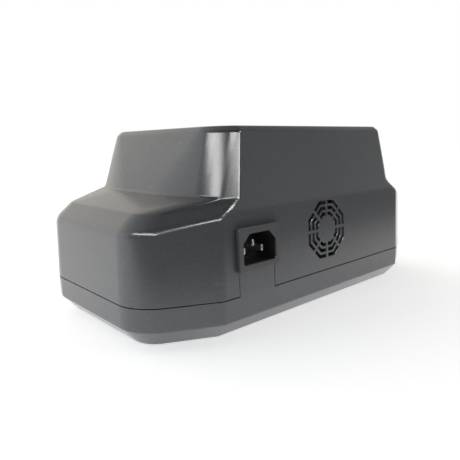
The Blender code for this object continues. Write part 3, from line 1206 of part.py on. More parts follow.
def build_front(shop, finishes):
    """Make the lead grommet and the status lamps with the small board behind them."""
    frame = shop.front_frame
    inside = WALL + 2 * FIT_GAP
    grip = 2.0 * MM
    profile = [(GROMMET_BORE, -GROMMET_PROUD), (GROMMET_FLANGE - MM, -GROMMET_PROUD),
               (GROMMET_FLANGE, -GROMMET_PROUD + MM), (GROMMET_FLANGE, -FIT_GAP), (GROMMET_NECK, -FIT_GAP),
               (GROMMET_NECK, inside), (GROMMET_NECK + MM, inside), (GROMMET_NECK, inside + grip),
               (GROMMET_BORE, inside + grip)]
    shop.turned("lead_grommet", profile, finishes["rubber"], place=(GROMMET_X, 0, GROMMET_Z), frame=frame,
                turn=ALONG_Y)
    board_y = BODY_Y - BOARD_DEPTH / 2 + LAMP_BOARD_INSET
    board_back = board_y + BOARD_THICKNESS
    lamp_height = SEAM_Z + LAMP_Z
    top = lamp_height + LAMP_BOARD_MARGIN
    width = 2 * LAMP_PITCH + 2 * LAMP_BOARD_MARGIN
    bm = block((width, BOARD_THICKNESS, top - PART_Z), (0, 0, (top + PART_Z) / 2))
    shop.piece("lamp_board", bm, finishes["board"], place=(LAMP_X, (board_y + board_back) / 2, 0))
    wall_y = FRONT_Y + LAMP_Z * math.tan(COVER_DRAFT)
    start = board_y - FIT_GAP
    length = start - wall_y + LAMP_PROUD
    profile = [(0, 0), (LAMP_RADIUS + LAMP_COLLAR, 0), (LAMP_RADIUS + LAMP_COLLAR, MM), (LAMP_RADIUS, MM),
               (LAMP_RADIUS, length - LAMP_RADIUS), (LAMP_RADIUS * 0.87, length - LAMP_RADIUS * 0.5),
               (LAMP_RADIUS * 0.5, length - LAMP_RADIUS * 0.13), (0, length)]
    for colour, x in zip(("red", "yellow", "green"), lamp_places()):
        shop.turned(f"status_lamp_{colour}", profile, finishes[f"lamp_{colour}"], sides=14,
                    place=(x, start, lamp_height), turn=(90 * DEG, 0, 0))


def make_finishes():
    """Return every material of the charger by name."""
    return {
        "housing": make_material("housing_plastic", (0.062, 0.062, 0.065), 0.38),
        "inlet_plastic": make_material("inlet_plastic", (0.022, 0.022, 0.024), 0.45),
        "fan_plastic": make_material("fan_plastic", (0.012, 0.012, 0.012), 0.5),
        "nickel": make_material("nickel_plate", (0.72, 0.66, 0.55), 0.25, 1.0),
        "brass": make_material("brass_sleeve", (0.72, 0.5, 0.2), 0.3, 1.0),
        "copper": make_material("copper_wire", (0.62, 0.27, 0.12), 0.35, 1.0),
        "steel": make_material("zinc_steel", (0.55, 0.55, 0.55), 0.35, 1.0),
        "aluminium": make_material("aluminium", (0.65, 0.66, 0.67), 0.4, 1.0),
        "board": make_material("circuit_board", (0.02, 0.13, 0.06), 0.45),
        "ferrite": make_material("ferrite", (0.05, 0.05, 0.05), 0.6),
        "tape": make_material("winding_tape", (0.65, 0.5, 0.08), 0.4),
        "sleeve": make_material("capacitor_sleeve", (0.02, 0.03, 0.08), 0.35),
        "yellow_box": make_material("film_capacitor", (0.7, 0.5, 0.05), 0.4),
        "black_box": make_material("moulded_epoxy", (0.02, 0.02, 0.02), 0.5),
        "glass": make_material("fuse_glass", (0.6, 0.62, 0.62), 0.15),
        "rubber": make_material("rubber", (0.015, 0.015, 0.015), 0.8),
        "red_wire": make_material("red_insulation", (0.6, 0.03, 0.02), 0.45),
        "black_wire": make_material("black_insulation", (0.015, 0.015, 0.015), 0.45),
        "brown_wire": make_material("brown_insulation", (0.16, 0.06, 0.025), 0.45),
        "blue_wire": make_material("blue_insulation", (0.03, 0.09, 0.45), 0.45),
        "earth_wire": make_material("green_yellow_insulation", (0.25, 0.45, 0.05), 0.45),
        "lamp_red": make_material("lamp_red", (0.7, 0.04, 0.03), 0.2),
        "lamp_yellow": make_material("lamp_yellow", (0.8, 0.5, 0.04), 0.2),
        "lamp_green": make_material("lamp_green", (0.05, 0.5, 0.1), 0.2),
    }


def main():
    """Build the whole charger."""
    clear_scene()
    shop = Workshop()
    finishes = make_finishes()
    bpy.context.view_layer.update()
    build_cover(shop, finishes["housing"])
    build_tray(shop, finishes["housing"])
    build_feet(shop, finishes["rubber"])
    build_case_screws(shop, finishes["steel"])
    tail = build_inlet(shop, finishes["inlet_plastic"], finishes["nickel"])
    build_mains_wires(shop, tail, (finishes["brown_wire"], finishes["earth_wire"], finishes["blue_wire"]))
    build_fan(shop, finishes)
    build_board(shop, finishes)
    build_power_parts(shop, finishes)
    build_front(shop, finishes)
    bpy.context.view_layer.update()


main()
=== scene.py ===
"""Looks of a floor scrubber battery charger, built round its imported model.

Units are metres with +Z up. The back face, with the mains inlet and the fan grille, looks along +Y.
Heights of the housing are counted from the seam, where the cover meets the tray at SEAM_Z. INLET and GROMMET are
places on a panel, across and above the seam, and SCREW is half the spread of the case screws across and in depth.
"""

import json
import logging
import math
from dataclasses import dataclass, field, replace
from enum import Enum
from typing import Callable, Iterable, Optional

import bmesh
import bpy
from mathutils import Matrix, Vector


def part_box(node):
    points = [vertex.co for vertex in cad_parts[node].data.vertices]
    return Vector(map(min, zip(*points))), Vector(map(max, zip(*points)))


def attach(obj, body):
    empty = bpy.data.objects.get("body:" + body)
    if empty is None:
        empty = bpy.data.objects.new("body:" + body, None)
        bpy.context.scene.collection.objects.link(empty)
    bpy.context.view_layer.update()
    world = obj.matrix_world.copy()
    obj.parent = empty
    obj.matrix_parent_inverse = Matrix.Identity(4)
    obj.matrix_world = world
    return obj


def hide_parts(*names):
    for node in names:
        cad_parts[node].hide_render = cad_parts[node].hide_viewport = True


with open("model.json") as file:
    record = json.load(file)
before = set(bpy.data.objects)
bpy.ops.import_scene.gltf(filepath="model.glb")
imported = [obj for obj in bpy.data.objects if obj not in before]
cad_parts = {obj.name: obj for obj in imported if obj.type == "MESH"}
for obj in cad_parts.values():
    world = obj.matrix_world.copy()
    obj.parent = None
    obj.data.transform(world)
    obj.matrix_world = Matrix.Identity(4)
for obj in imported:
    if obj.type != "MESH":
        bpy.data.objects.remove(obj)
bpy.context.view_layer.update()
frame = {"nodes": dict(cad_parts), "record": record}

LOG = logging.getLogger("charger")
MM = 0.001
DEG = math.pi / 180.0
DRAFT = 1.85 * DEG
HOUSING = "housing"
Socket = bpy.types.NodeSocket
SEAM_Z = 23.5 * MM
INLET = (62.55 * MM, 25.6 * MM)
SCREW = (106.0 * MM, 31.5 * MM)
GROMMET = (-58.05 * MM, 20.0 * MM)


def four_corners(half_a: float, half_b: float) -> list:
    """Return the corners of a rectangle round its middle."""
    return [(side_a * half_a, side_b * half_b) for side_a in (-1, 1) for side_b in (-1, 1)]


class Pattern(Enum):
    """The kinds of surface texture that a finish can carry."""

    SMOOTH = "smooth"
    BRUSHED = "brushed"
    WOUND = "wound"
    PRINTED = "printed"


class Nodes:
    """A node tree, with short calls for the nodes that the finishes and the world use."""

    def __init__(self, tree: bpy.types.NodeTree) -> None:
        """Take a node tree."""
        self.tree = tree

    def node(self, kind: str, inputs: Optional[dict] = None, **settings: object) -> bpy.types.Node:
        """Add a node of a kind, with values or sockets by input name or number, and return it."""
        made = self.tree.nodes.new("ShaderNode" + kind)
        for key, value in settings.items():
            setattr(made, key, value)
        for key, value in (inputs or {}).items():
            if isinstance(value, Socket):
                self.tree.links.new(value, made.inputs[key])
            else:
                made.inputs[key].default_value = value
        return made

    def spread(self, value: Socket, low: float, high: float, to_low: float, to_high: float,
               smooth: bool = False) -> Socket:
        """Return a value carried from one range to another and held within it."""
        kind = "SMOOTHSTEP" if smooth else "LINEAR"
        return self.node("MapRange", {"Value": value, "From Min": low, "From Max": high, "To Min": to_low,
                                      "To Max": to_high}, interpolation_type=kind).outputs[0]

    def math(self, operation: str, first: object, second: object = 0.0) -> Socket:
        """Return the result of one sum on two values."""
        return self.node("Math", {0: first, 1: second}, operation=operation).outputs[0]

    def product(self, *values: object) -> Socket:
        """Return the product of two or more values."""
        result = values[0]
        for value in values[1:]:
            result = self.math("MULTIPLY", result, value)
        return result

    def mix(self, share: Socket, first: object, second: object) -> Socket:
        """Return a colour that runs from one colour or socket to another."""
        low, high = (value if isinstance(value, Socket) else (*value, 1.0)
                     for value in (first, second))
        return self.node("Mix", {0: share, 6: low, 7: high}, data_type="RGBA").outputs[2]


class Graph(Nodes):
    """A material's node tree on object coordinates."""

    def __init__(self, name: str) -> None:
        """Start a material with a Principled shader."""
        self.material = bpy.data.materials.new(name)
        self.material.use_nodes = True
        super().__init__(self.material.node_tree)
        self.shader = self.tree.nodes["Principled BSDF"]
        self.place = self.node("TexCoord").outputs["Object"]

    def axes(self) -> tuple:
        """Return the object's coordinates one by one."""
        return tuple(self.node("SeparateXYZ", {0: self.place}).outputs)

    def off_middle(self, value: Socket, middle: float = 0.0) -> Socket:
        """Return how far a coordinate lies from a middle."""
        return self.math("ABSOLUTE", self.math("SUBTRACT", value, middle))

    def stretched(self, scale: tuple, turn: tuple = (0.0, 0.0, 0.0)) -> Socket:
        """Return object coordinates scaled by direction and turned."""
        return self.node("Mapping", {"Vector": self.place, "Scale": scale, "Rotation": turn}).outputs[0]

    def noise(self, size: float, detail: float = 2.0, place: Optional[Socket] = None) -> Socket:
        """Return noise of a detail whose features are about as large as a length, in some coordinates."""
        return self.node("TexNoise", {"Vector": place or self.place, "Scale": 1.0 / size, "Detail": detail,
                                      "Roughness": 0.5}).outputs[0]

    def blotches(self, size: float, detail: float, low: float = 0.0, high: float = 1.0) -> Socket:
        """Return soft noise of a size, spread over a range."""
        return self.spread(self.noise(size, detail), 0.3, 0.7, low, high)

    def specks(self, pitch: float, radius: float, share: float) -> Socket:
        """Return a mask of round specks up to a radius, which a share of the places at a pitch hold."""
        cells = self.node("TexVoronoi", {"Vector": self.place, "Scale": 1.0 / pitch, "Randomness": 1.0})
        lot = self.node("SeparateColor", {0: cells.outputs["Color"]}).outputs[0]
        size = self.spread(lot, 1.0 - share, 1.0, 0.0, radius / pitch)
        return self.spread(self.math("SUBTRACT", size, cells.outputs["Distance"]), 0.0, 0.15 * radius / pitch,
                           0.0, 1.0)

    def bump(self, height: Socket, depth: float, strength: float = 1.0) -> Socket:
        """Return the surface normal raised by a height whose 1 stands for a depth in metres."""
        return self.node("Bump", {"Height": height, "Distance": depth, "Strength": strength}).outputs[0]

    def set(self, **inputs: object) -> None:
        """Set or link inputs of the shader; underscores stand for spaces."""
        for key, value in inputs.items():
            socket = self.shader.inputs[key.replace("_", " ")]
            if isinstance(value, Socket):
                self.tree.links.new(value, socket)
            else:
                socket.default_value = value


@dataclass(frozen=True)
class Finish:
    """One material: its slot in the record, colour and how rough it is."""

    slot: str
    colour: tuple
    roughness: float
    metallic: float = 0.0
    pattern: Pattern = Pattern.SMOOTH
    shift: float = 0.12

    def level(self, share: float) -> tuple:
        """Return the colour with its level changed by a share."""
        return tuple(min(1.0, c * (1.0 + share)) for c in self.colour)

    def mottled(self, graph: Graph, size: float, shift: float, detail: float = 3.0) -> Socket:
        """Return the colour with soft blotches of a size that are darker and lighter by a shift."""
        return graph.mix(graph.blotches(size, detail), self.level(-shift), self.level(shift))

    def make(self) -> bpy.types.Material:
        """Return the finish as a node material."""
        graph = Graph(self.slot)
        graph.set(Metallic=self.metallic)
        base = self.mottled(graph, 14 * MM, self.shift)
        fine = graph.noise(0.6 * MM)
        rough = graph.blotches(3 * MM, 3.0, self.roughness * 0.85, self.roughness * 1.15)
        if self.pattern is Pattern.BRUSHED:
            fine = graph.noise(0.25 * MM, place=graph.stretched((1.0, 1.0, 0.04)))
        elif self.pattern is Pattern.WOUND:
            fine = graph.node("TexWave", {"Vector": graph.place, "Scale": 1.0 / (28 * MM), "Distortion": 1.5},
                              bands_direction="Z").outputs[1]
        elif self.pattern is Pattern.PRINTED:
            cells = graph.node("TexBrick", {"Vector": graph.place, "Scale": 90.0, "Mortar Size": 0.08})
            base = graph.mix(graph.spread(cells.outputs[1], 0.0, 1.0, 0.0, 0.6), base, self.level(0.9))
        graph.set(Base_Color=base, Roughness=rough, Normal=graph.bump(fine, 0.03 * MM, 0.5))
        return graph.material


@dataclass(frozen=True)
class HousingPlastic(Finish):
    """Dark grey moulded plastic with a fine spark grain, its lightest grain cells lifted as painted sparkle, pale dust
    specks and faint scuffs.
    """

    ior: float = 1.53
    grain: float = 0.55 * MM
    grain_depth: float = 0.012 * MM
    drift_size: float = 60 * MM
    drift: float = 0.06
    pits: tuple = (0.3, -0.4)
    painted_sparkle: tuple = (0.18, 1.6)
    dust: tuple = (8 * MM, 0.4 * MM, 0.22)
    dust_share: float = 0.25
    flecks: tuple = (23 * MM, 0.6 * MM, 0.16)
    fleck_share: float = 0.4
    dust_colour: tuple = (0.42, 0.41, 0.39)
    scuff_width: float = 2.2 * MM
    scuff_patch: float = 24 * MM
    scuff: tuple = (0.15, 1.2)
    haze_size: float = 25 * MM

    def scuffs(self, graph: Graph) -> Socket:
        """Return a mask of level scratches that lie in a few patches."""
        streak = graph.noise(self.scuff_width, place=graph.stretched((0.06, 0.06, 1.0), (0.05, 0.0, 0.0)))
        where = graph.spread(graph.noise(self.scuff_patch, 1.0), 0.6, 0.7, 0.0, 1.0)
        return graph.product(graph.spread(streak, 0.66, 0.72, 0.0, 1.0), where)

    def make(self) -> bpy.types.Material:
        """Return the finish as a node material."""
        graph = Graph(self.slot)
        base = self.mottled(graph, self.drift_size, self.drift)
        cells = graph.node("TexVoronoi", {"Vector": graph.place, "Scale": 1.0 / self.grain}).outputs["Color"]
        lot = graph.node("SeparateColor", {0: cells}).outputs[0]
        base = graph.mix(graph.spread(lot, 0.0, 1.0, 0.0, self.pits[0]), base, self.level(self.pits[1]))
        # painted sparkle: the lightest grain cells are lifted in colour as painted glints
        base = graph.mix(graph.spread(lot, 0.9, 1.0, 0.0, self.painted_sparkle[0]), base, self.level(self.painted_sparkle[1]))
        marks = graph.math("MAXIMUM", graph.product(graph.specks(*self.dust), self.dust_share),
                           graph.product(graph.specks(*self.flecks), self.fleck_share))
        base = graph.mix(marks, base, self.dust_colour)
        scuff = self.scuffs(graph)
        base = graph.mix(graph.product(scuff, self.scuff[0]), base, self.level(self.scuff[1]))
        hazy = graph.blotches(self.haze_size, 2.0, self.roughness * 0.95, self.roughness * 1.08)
        rough = graph.math("ADD", hazy, graph.product(graph.math("MAXIMUM", marks, scuff), 0.15))
        normal = graph.bump(graph.noise(self.grain, 1.0), self.grain_depth)
        graph.set(Base_Color=base, Roughness=rough, Normal=normal, IOR=self.ior)
        return graph.material


@dataclass(frozen=True)
class InletPlastic(Finish):
    """Moulded plastic of the inlet, with a fine matt grain, dust in it and painted shade that blackens its well."""

    middle: tuple = (INLET[0], SEAM_Z + INLET[1])
    mouth: tuple = (12.6 * MM, 8.6 * MM)
    well_rim: float = 75.1 * MM
    well_shade_fade: float = 1.0 * MM
    well_shade_colour: tuple = (0.006, 0.006, 0.007)
    well_shade_share: float = 0.92
    grain: float = 0.4 * MM
    grain_depth: float = 0.02 * MM
    dust: tuple = (4 * MM, 0.3 * MM, 0.25)
    dust_share: float = 0.3
    dust_colour: tuple = (0.42, 0.41, 0.4)

    def well_painted_shade(self, graph: Graph) -> Socket:
        """Return a mask of painted shade that is 1 on the walls and the floor of the well."""
        x, y, z = graph.axes()
        beside = graph.math("SUBTRACT", graph.off_middle(x, self.middle[0]), self.mouth[0])
        above = graph.math("SUBTRACT", graph.off_middle(z, self.middle[1]), self.mouth[1])
        inside = graph.spread(graph.math("MAXIMUM", beside, above), 0.0, 0.2 * MM, 1.0, 0.0)
        deep = graph.spread(y, self.well_rim - self.well_shade_fade, self.well_rim, 1.0, 0.0)
        return graph.product(inside, deep)

    def make(self) -> bpy.types.Material:
        """Return the finish as a node material."""
        graph = Graph(self.slot)
        base = self.mottled(graph, 8 * MM, 0.1)
        lot = graph.spread(graph.noise(0.5 * MM, 1.0), 0.5, 0.75, 0.0, 0.35)
        base = graph.mix(lot, base, self.level(0.8))
        base = graph.mix(graph.product(graph.specks(*self.dust), self.dust_share), base, self.dust_colour)
        # painted shade: the well's walls and floor are mixed nearly to black, as shade in the recess
        base = graph.mix(graph.product(self.well_painted_shade(graph), self.well_shade_share), base, self.well_shade_colour)
        rough = graph.blotches(2 * MM, 3.0, self.roughness * 0.9, self.roughness * 1.1)
        graph.set(Base_Color=base, Roughness=rough, Normal=graph.bump(graph.noise(self.grain), self.grain_depth))
        return graph.material


@dataclass(frozen=True)
class Lens(Finish):
    """Tinted clear plastic of a status lamp."""

    def make(self) -> bpy.types.Material:
        """Return the finish as a node material."""
        graph = Graph(self.slot)
        base = graph.mix(graph.blotches(1.5 * MM, 2.0), self.level(-0.15), self.level(0.1))
        rough = graph.blotches(0.8 * MM, 2.0, self.roughness - 0.05, self.roughness + 0.05)
        graph.set(Base_Color=base, Roughness=rough, IOR=1.5, Transmission_Weight=0.55,
                  Normal=graph.bump(graph.noise(0.6 * MM), 0.01 * MM, 0.4))
        return graph.material


FINISHES = (
    HousingPlastic("housing", (0.14, 0.142, 0.148), 0.17),
    InletPlastic("inlet_plastic", (0.098, 0.1, 0.104), 0.4),
    Finish("nickel", (0.78, 0.74, 0.66), 0.22, 1.0, Pattern.BRUSHED),
    Finish("brown_insulation", (0.16, 0.06, 0.025), 0.45),
    Finish("earth_insulation", (0.25, 0.45, 0.05), 0.45),
    Finish("blue_insulation", (0.03, 0.09, 0.45), 0.45),
    Finish("fan_plastic", (0.014, 0.014, 0.015), 0.62),
    Finish("brass_sleeve", (0.72, 0.5, 0.2), 0.3, 1.0, Pattern.BRUSHED),
    Finish("copper", (0.62, 0.27, 0.12), 0.35, 1.0, Pattern.WOUND),
    Finish("red_insulation", (0.75, 0.03, 0.02), 0.4),
    Finish("black_insulation", (0.015, 0.015, 0.015), 0.45),
    Finish("steel", (0.56, 0.56, 0.55), 0.32, 1.0, Pattern.BRUSHED),
    Finish("board", (0.02, 0.13, 0.06), 0.4, 0.0, Pattern.PRINTED),
    Finish("ferrite", (0.05, 0.05, 0.052), 0.6),
    Finish("tape", (0.65, 0.5, 0.08), 0.35, 0.0, Pattern.WOUND),
    Finish("sleeve", (0.02, 0.03, 0.08), 0.3),
    Finish("film_box", (0.7, 0.5, 0.05), 0.4),
    Finish("epoxy", (0.02, 0.02, 0.02), 0.5),
    Finish("fuse", (0.62, 0.63, 0.62), 0.18),
    Finish("aluminium", (0.65, 0.66, 0.67), 0.38, 1.0, Pattern.BRUSHED),
    Finish("rubber", (0.016, 0.016, 0.016), 0.75),
    Lens("lamp_red", (0.75, 0.04, 0.03), 0.15),
    Lens("lamp_yellow", (0.85, 0.52, 0.04), 0.15),
    Lens("lamp_green", (0.05, 0.55, 0.1), 0.15),
)


class Palette:
    """Every finish of the charger as a material, by its slot."""

    def __init__(self, finishes: Iterable[Finish]) -> None:
        """Make the materials."""
        self.materials = {finish.slot: finish.make() for finish in finishes}

    def dress_nodes(self) -> None:
        """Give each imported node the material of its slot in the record."""
        slots = {row["node"]: row["material_slot"] for row in frame["record"]["subparts"]}
        for name, node in frame["nodes"].items():
            for holder in node.material_slots:
                holder.material = self.materials[slots[name]]
        LOG.info("dressed %d packed nodes", len(frame["nodes"]))


class Shape:
    """A mesh in the making, shaped with mesh operators."""

    def __init__(self) -> None:
        """Start with nothing."""
        self.bm = bmesh.new()

    @classmethod
    def block(cls, size: tuple, centre: tuple) -> "Shape":
        """Return a box."""
        made = cls()
        bmesh.ops.create_cube(made.bm, size=1, matrix=Matrix.Translation(centre) @ Matrix.Diagonal((*size, 1)))
        return made

    @classmethod
    def rod(cls, radius: float, length: float, centre: tuple, sides: int = 32, axis: str = "Y") -> "Shape":
        """Return a cylinder along Y or Z."""
        made = cls()
        turn = Matrix.Rotation(math.pi / 2, 4, "X") if axis == "Y" else Matrix.Identity(4)
        bmesh.ops.create_cone(made.bm, cap_ends=True, segments=sides, radius1=radius, radius2=radius,
                              depth=length, matrix=Matrix.Translation(centre) @ turn)
        return made

    @classmethod
    def plate(cls, outline: list, start: float, end: float, flare: float) -> "Shape":
        """Return (x, z) corners pushed along Y, whose end spreads at 45 degrees over twice the flare."""
        made = cls()
        bm = made.bm
        foot = bm.faces.new([bm.verts.new((x, start, z)) for x, z in outline])
        grown = bmesh.ops.extrude_face_region(bm, geom=[foot])
        face = next(g for g in grown["geom"] if isinstance(g, bmesh.types.BMFace))
        bmesh.ops.translate(bm, vec=(0, end - start - 2 * flare, 0), verts=face.verts)
        face = bmesh.ops.extrude_discrete_faces(bm, faces=[face])["faces"][0]
        bmesh.ops.translate(bm, vec=(0, 2 * flare, 0), verts=face.verts)
        face.normal_update()
        widen(face, 2 * flare)
        bmesh.ops.recalc_face_normals(bm, faces=bm.faces)
        return made

    @classmethod
    def lathe(cls, profile: list, steps: int) -> "Shape":
        """Return a closed shape turned about Z from (radius, height) points, where radius 0 is on the axis."""
        made = cls()
        bm = made.bm
        line = [bm.verts.new((r, 0, h)) for r, h in profile]
        edges = [bm.edges.new(pair) for pair in zip(line, line[1:])]
        if profile[0][0] > 0:
            edges.append(bm.edges.new((line[-1], line[0])))
        bmesh.ops.spin(bm, geom=line + edges, cent=(0, 0, 0), axis=(0, 0, 1), dvec=(0, 0, 0),
                       angle=2 * math.pi, steps=steps, use_merge=True, use_duplicate=False)
        bmesh.ops.remove_doubles(bm, verts=bm.verts, dist=0.001 * MM)
        bmesh.ops.recalc_face_normals(bm, faces=bm.faces)
        return made

    def edges(self, wanted: Callable[[bmesh.types.BMEdge], bool]) -> list:
        """Return the edges that a test picks."""
        return [edge for edge in self.bm.edges if wanted(edge)]

    def uprights(self, axis: int = 2) -> list:
        """Return the edges that run more than a millimetre along an axis."""
        return self.edges(lambda e: abs(e.verts[0].co[axis] - e.verts[1].co[axis]) > MM)

    def creases(self, angle: float) -> list:
        """Return the edges that bend more than an angle."""
        return self.edges(lambda e: len(e.link_faces) == 2 and e.calc_face_angle() > angle)

    def round(self, edges: list, radius: float, steps: int = 3) -> "Shape":
        """Round some edges."""
        bmesh.ops.bevel(self.bm, geom=edges, offset=radius, segments=steps, profile=0.5, affect="EDGES",
                        material=-1, clamp_overlap=True)
        return self

    def turn(self, angle: float, axis: str) -> "Shape":
        """Turn the shape about an axis through the origin."""
        bmesh.ops.rotate(self.bm, cent=(0, 0, 0), matrix=Matrix.Rotation(angle, 3, axis), verts=self.bm.verts)
        return self

    def move(self, offset: tuple) -> "Shape":
        """Shift the shape."""
        bmesh.ops.translate(self.bm, vec=Vector(offset), verts=self.bm.verts)
        return self

    def set_in(self, place: Matrix) -> "Shape":
        """Carry the shape by a matrix."""
        bmesh.ops.transform(self.bm, matrix=place, verts=self.bm.verts)
        return self

    def join(self, *others: "Shape") -> "Shape":
        """Add other closed shapes to this one."""
        for other in others:
            mesh = other.mesh("joined")
            self.bm.from_mesh(mesh)
            bpy.data.meshes.remove(mesh)
        return self

    def mesh(self, name: str) -> bpy.types.Mesh:
        """Return the shape as a mesh and let it go."""
        mesh = bpy.data.meshes.new(name)
        self.bm.to_mesh(mesh)
        self.bm.free()
        return mesh


def widen(face: bmesh.types.BMFace, reach: float) -> None:
    """Spread the corners of a flat face outwards so that each side moves by a reach."""
    loops = list(face.loops)
    facing = Vector((0, 1, 0)) if face.normal.y >= 0 else Vector((0, -1, 0))
    offsets = []
    for loop in loops:
        before = (loop.vert.co - loop.link_loop_prev.vert.co).normalized()
        after = (loop.link_loop_next.vert.co - loop.vert.co).normalized()
        first, second = before.cross(facing), after.cross(facing)
        offsets.append((first + second) * reach / (1.0 + first.dot(second)))
    for loop, offset in zip(loops, offsets):
        loop.vert.co += offset


def round_arc(radius: float, angles: Iterable[float]) -> list:
    """Return points of an arc about the origin at some angles in degrees from its first axis."""
    return [(radius * math.cos(angle * DEG), radius * math.sin(angle * DEG)) for angle in angles]


def add_object(name: str, data: bpy.types.ID) -> bpy.types.Object:
    """Add an object to the scene."""
    obj = bpy.data.objects.new(name, data)
    bpy.context.scene.collection.objects.link(obj)
    return obj


class Piece:
    """One finished piece of the dressed model."""

    def __init__(self, name: str, shape: Shape) -> None:
        """Put a shape in the scene under a name."""
        self.obj = add_object(name, shape.mesh(name))
        self.helpers = []

    def modify(self, kind: str, **settings: object) -> None:
        """Add a modifier."""
        mod = self.obj.modifiers.new(kind.lower(), kind)
        for key, value in settings.items():
            setattr(mod, key, value)

    def cut(self, shape: Shape, operation: str = "DIFFERENCE") -> None:
        """Cut a shape away from the piece, or join it on."""
        helper = add_object("helper", shape.mesh("helper"))
        self.helpers.append(helper)
        self.modify("BOOLEAN", operation=operation, solver="EXACT", object=helper)

    def soften(self, width: float, steps: int) -> None:
        """Round the edges that carry a bevel weight."""
        self.modify("BEVEL", limit_method="WEIGHT", width=width, segments=steps, profile=0.5,
                    use_clamp_overlap=False, loop_slide=True)

    def finish(self, palette: Palette, slot: str, nodes: Iterable[str], sharp: float = 30 * DEG) -> None:
        """Settle the mesh, dress it in a slot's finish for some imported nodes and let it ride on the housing."""
        self.smooth(sharp)
        if self.helpers:
            self.settle()
            self.smooth(sharp)
        self.modify("WEIGHTED_NORMAL", keep_sharp=True, weight=60)
        self.settle()
        self.obj.data.materials.clear()
        self.obj.data.materials.append(palette.materials[slot])
        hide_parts(*nodes)
        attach(self.obj, HOUSING)
        LOG.info("%s: %d faces", self.obj.name, len(self.obj.data.polygons))

    def smooth(self, sharp: float) -> None:
        """Shade the mesh smooth, but sharp at edges above an angle."""
        self.obj.data.shade_smooth()
        self.obj.data.set_sharp_from_angle(angle=sharp)

    def settle(self) -> None:
        """Turn the modifiers into mesh and drop the helpers."""
        bpy.context.view_layer.update()
        evaluated = self.obj.evaluated_get(bpy.context.evaluated_depsgraph_get())
        mesh = bpy.data.meshes.new_from_object(evaluated)
        self.obj.modifiers.clear()
        self.obj.data = mesh
        mesh.name = self.obj.name
        for helper in self.helpers:
            bpy.data.objects.remove(helper, do_unlink=True)
        self.helpers = []


@dataclass(frozen=True)
class Body:
    """The plan of the housing at the seam, shared by the cover and the tray."""

    length: float = 259.7 * MM
    depth: float = 146.5 * MM
    wing_reach: float = 42.45 * MM
    wing: float = 26.8 * DEG
    corner: float = 25.0 * MM
    wall: float = 2.5 * MM
    seam_gap: float = 0.5 * MM
    lip_height: float = 2.0 * MM
    lip_thickness: float = 1.0 * MM
    fit: float = 0.3 * MM
    seam_z: float = SEAM_Z
    back_y: float = 73.362 * MM

    @property
    def front_y(self) -> float:
        """The front face at the seam."""
        return self.back_y - self.depth

    @property
    def middle_y(self) -> float:
        """The middle of its depth at the seam."""
        return (self.back_y + self.front_y) / 2

    @property
    def crease_x(self) -> float:
        """Where the flat back meets the wing at the seam."""
        return self.length / 2 - self.wing_reach

    def panel(self) -> Matrix:
        """Return the frame of the drafted back panel, at its foot."""
        return Matrix.Translation((0, self.back_y, self.seam_z)) @ Matrix.Rotation(DRAFT, 4, "X")

    def front_panel(self) -> Matrix:
        """Return the frame of the drafted front panel, at its foot."""
        return Matrix.Translation((0, self.front_y, self.seam_z)) @ Matrix.Rotation(-DRAFT, 4, "X")


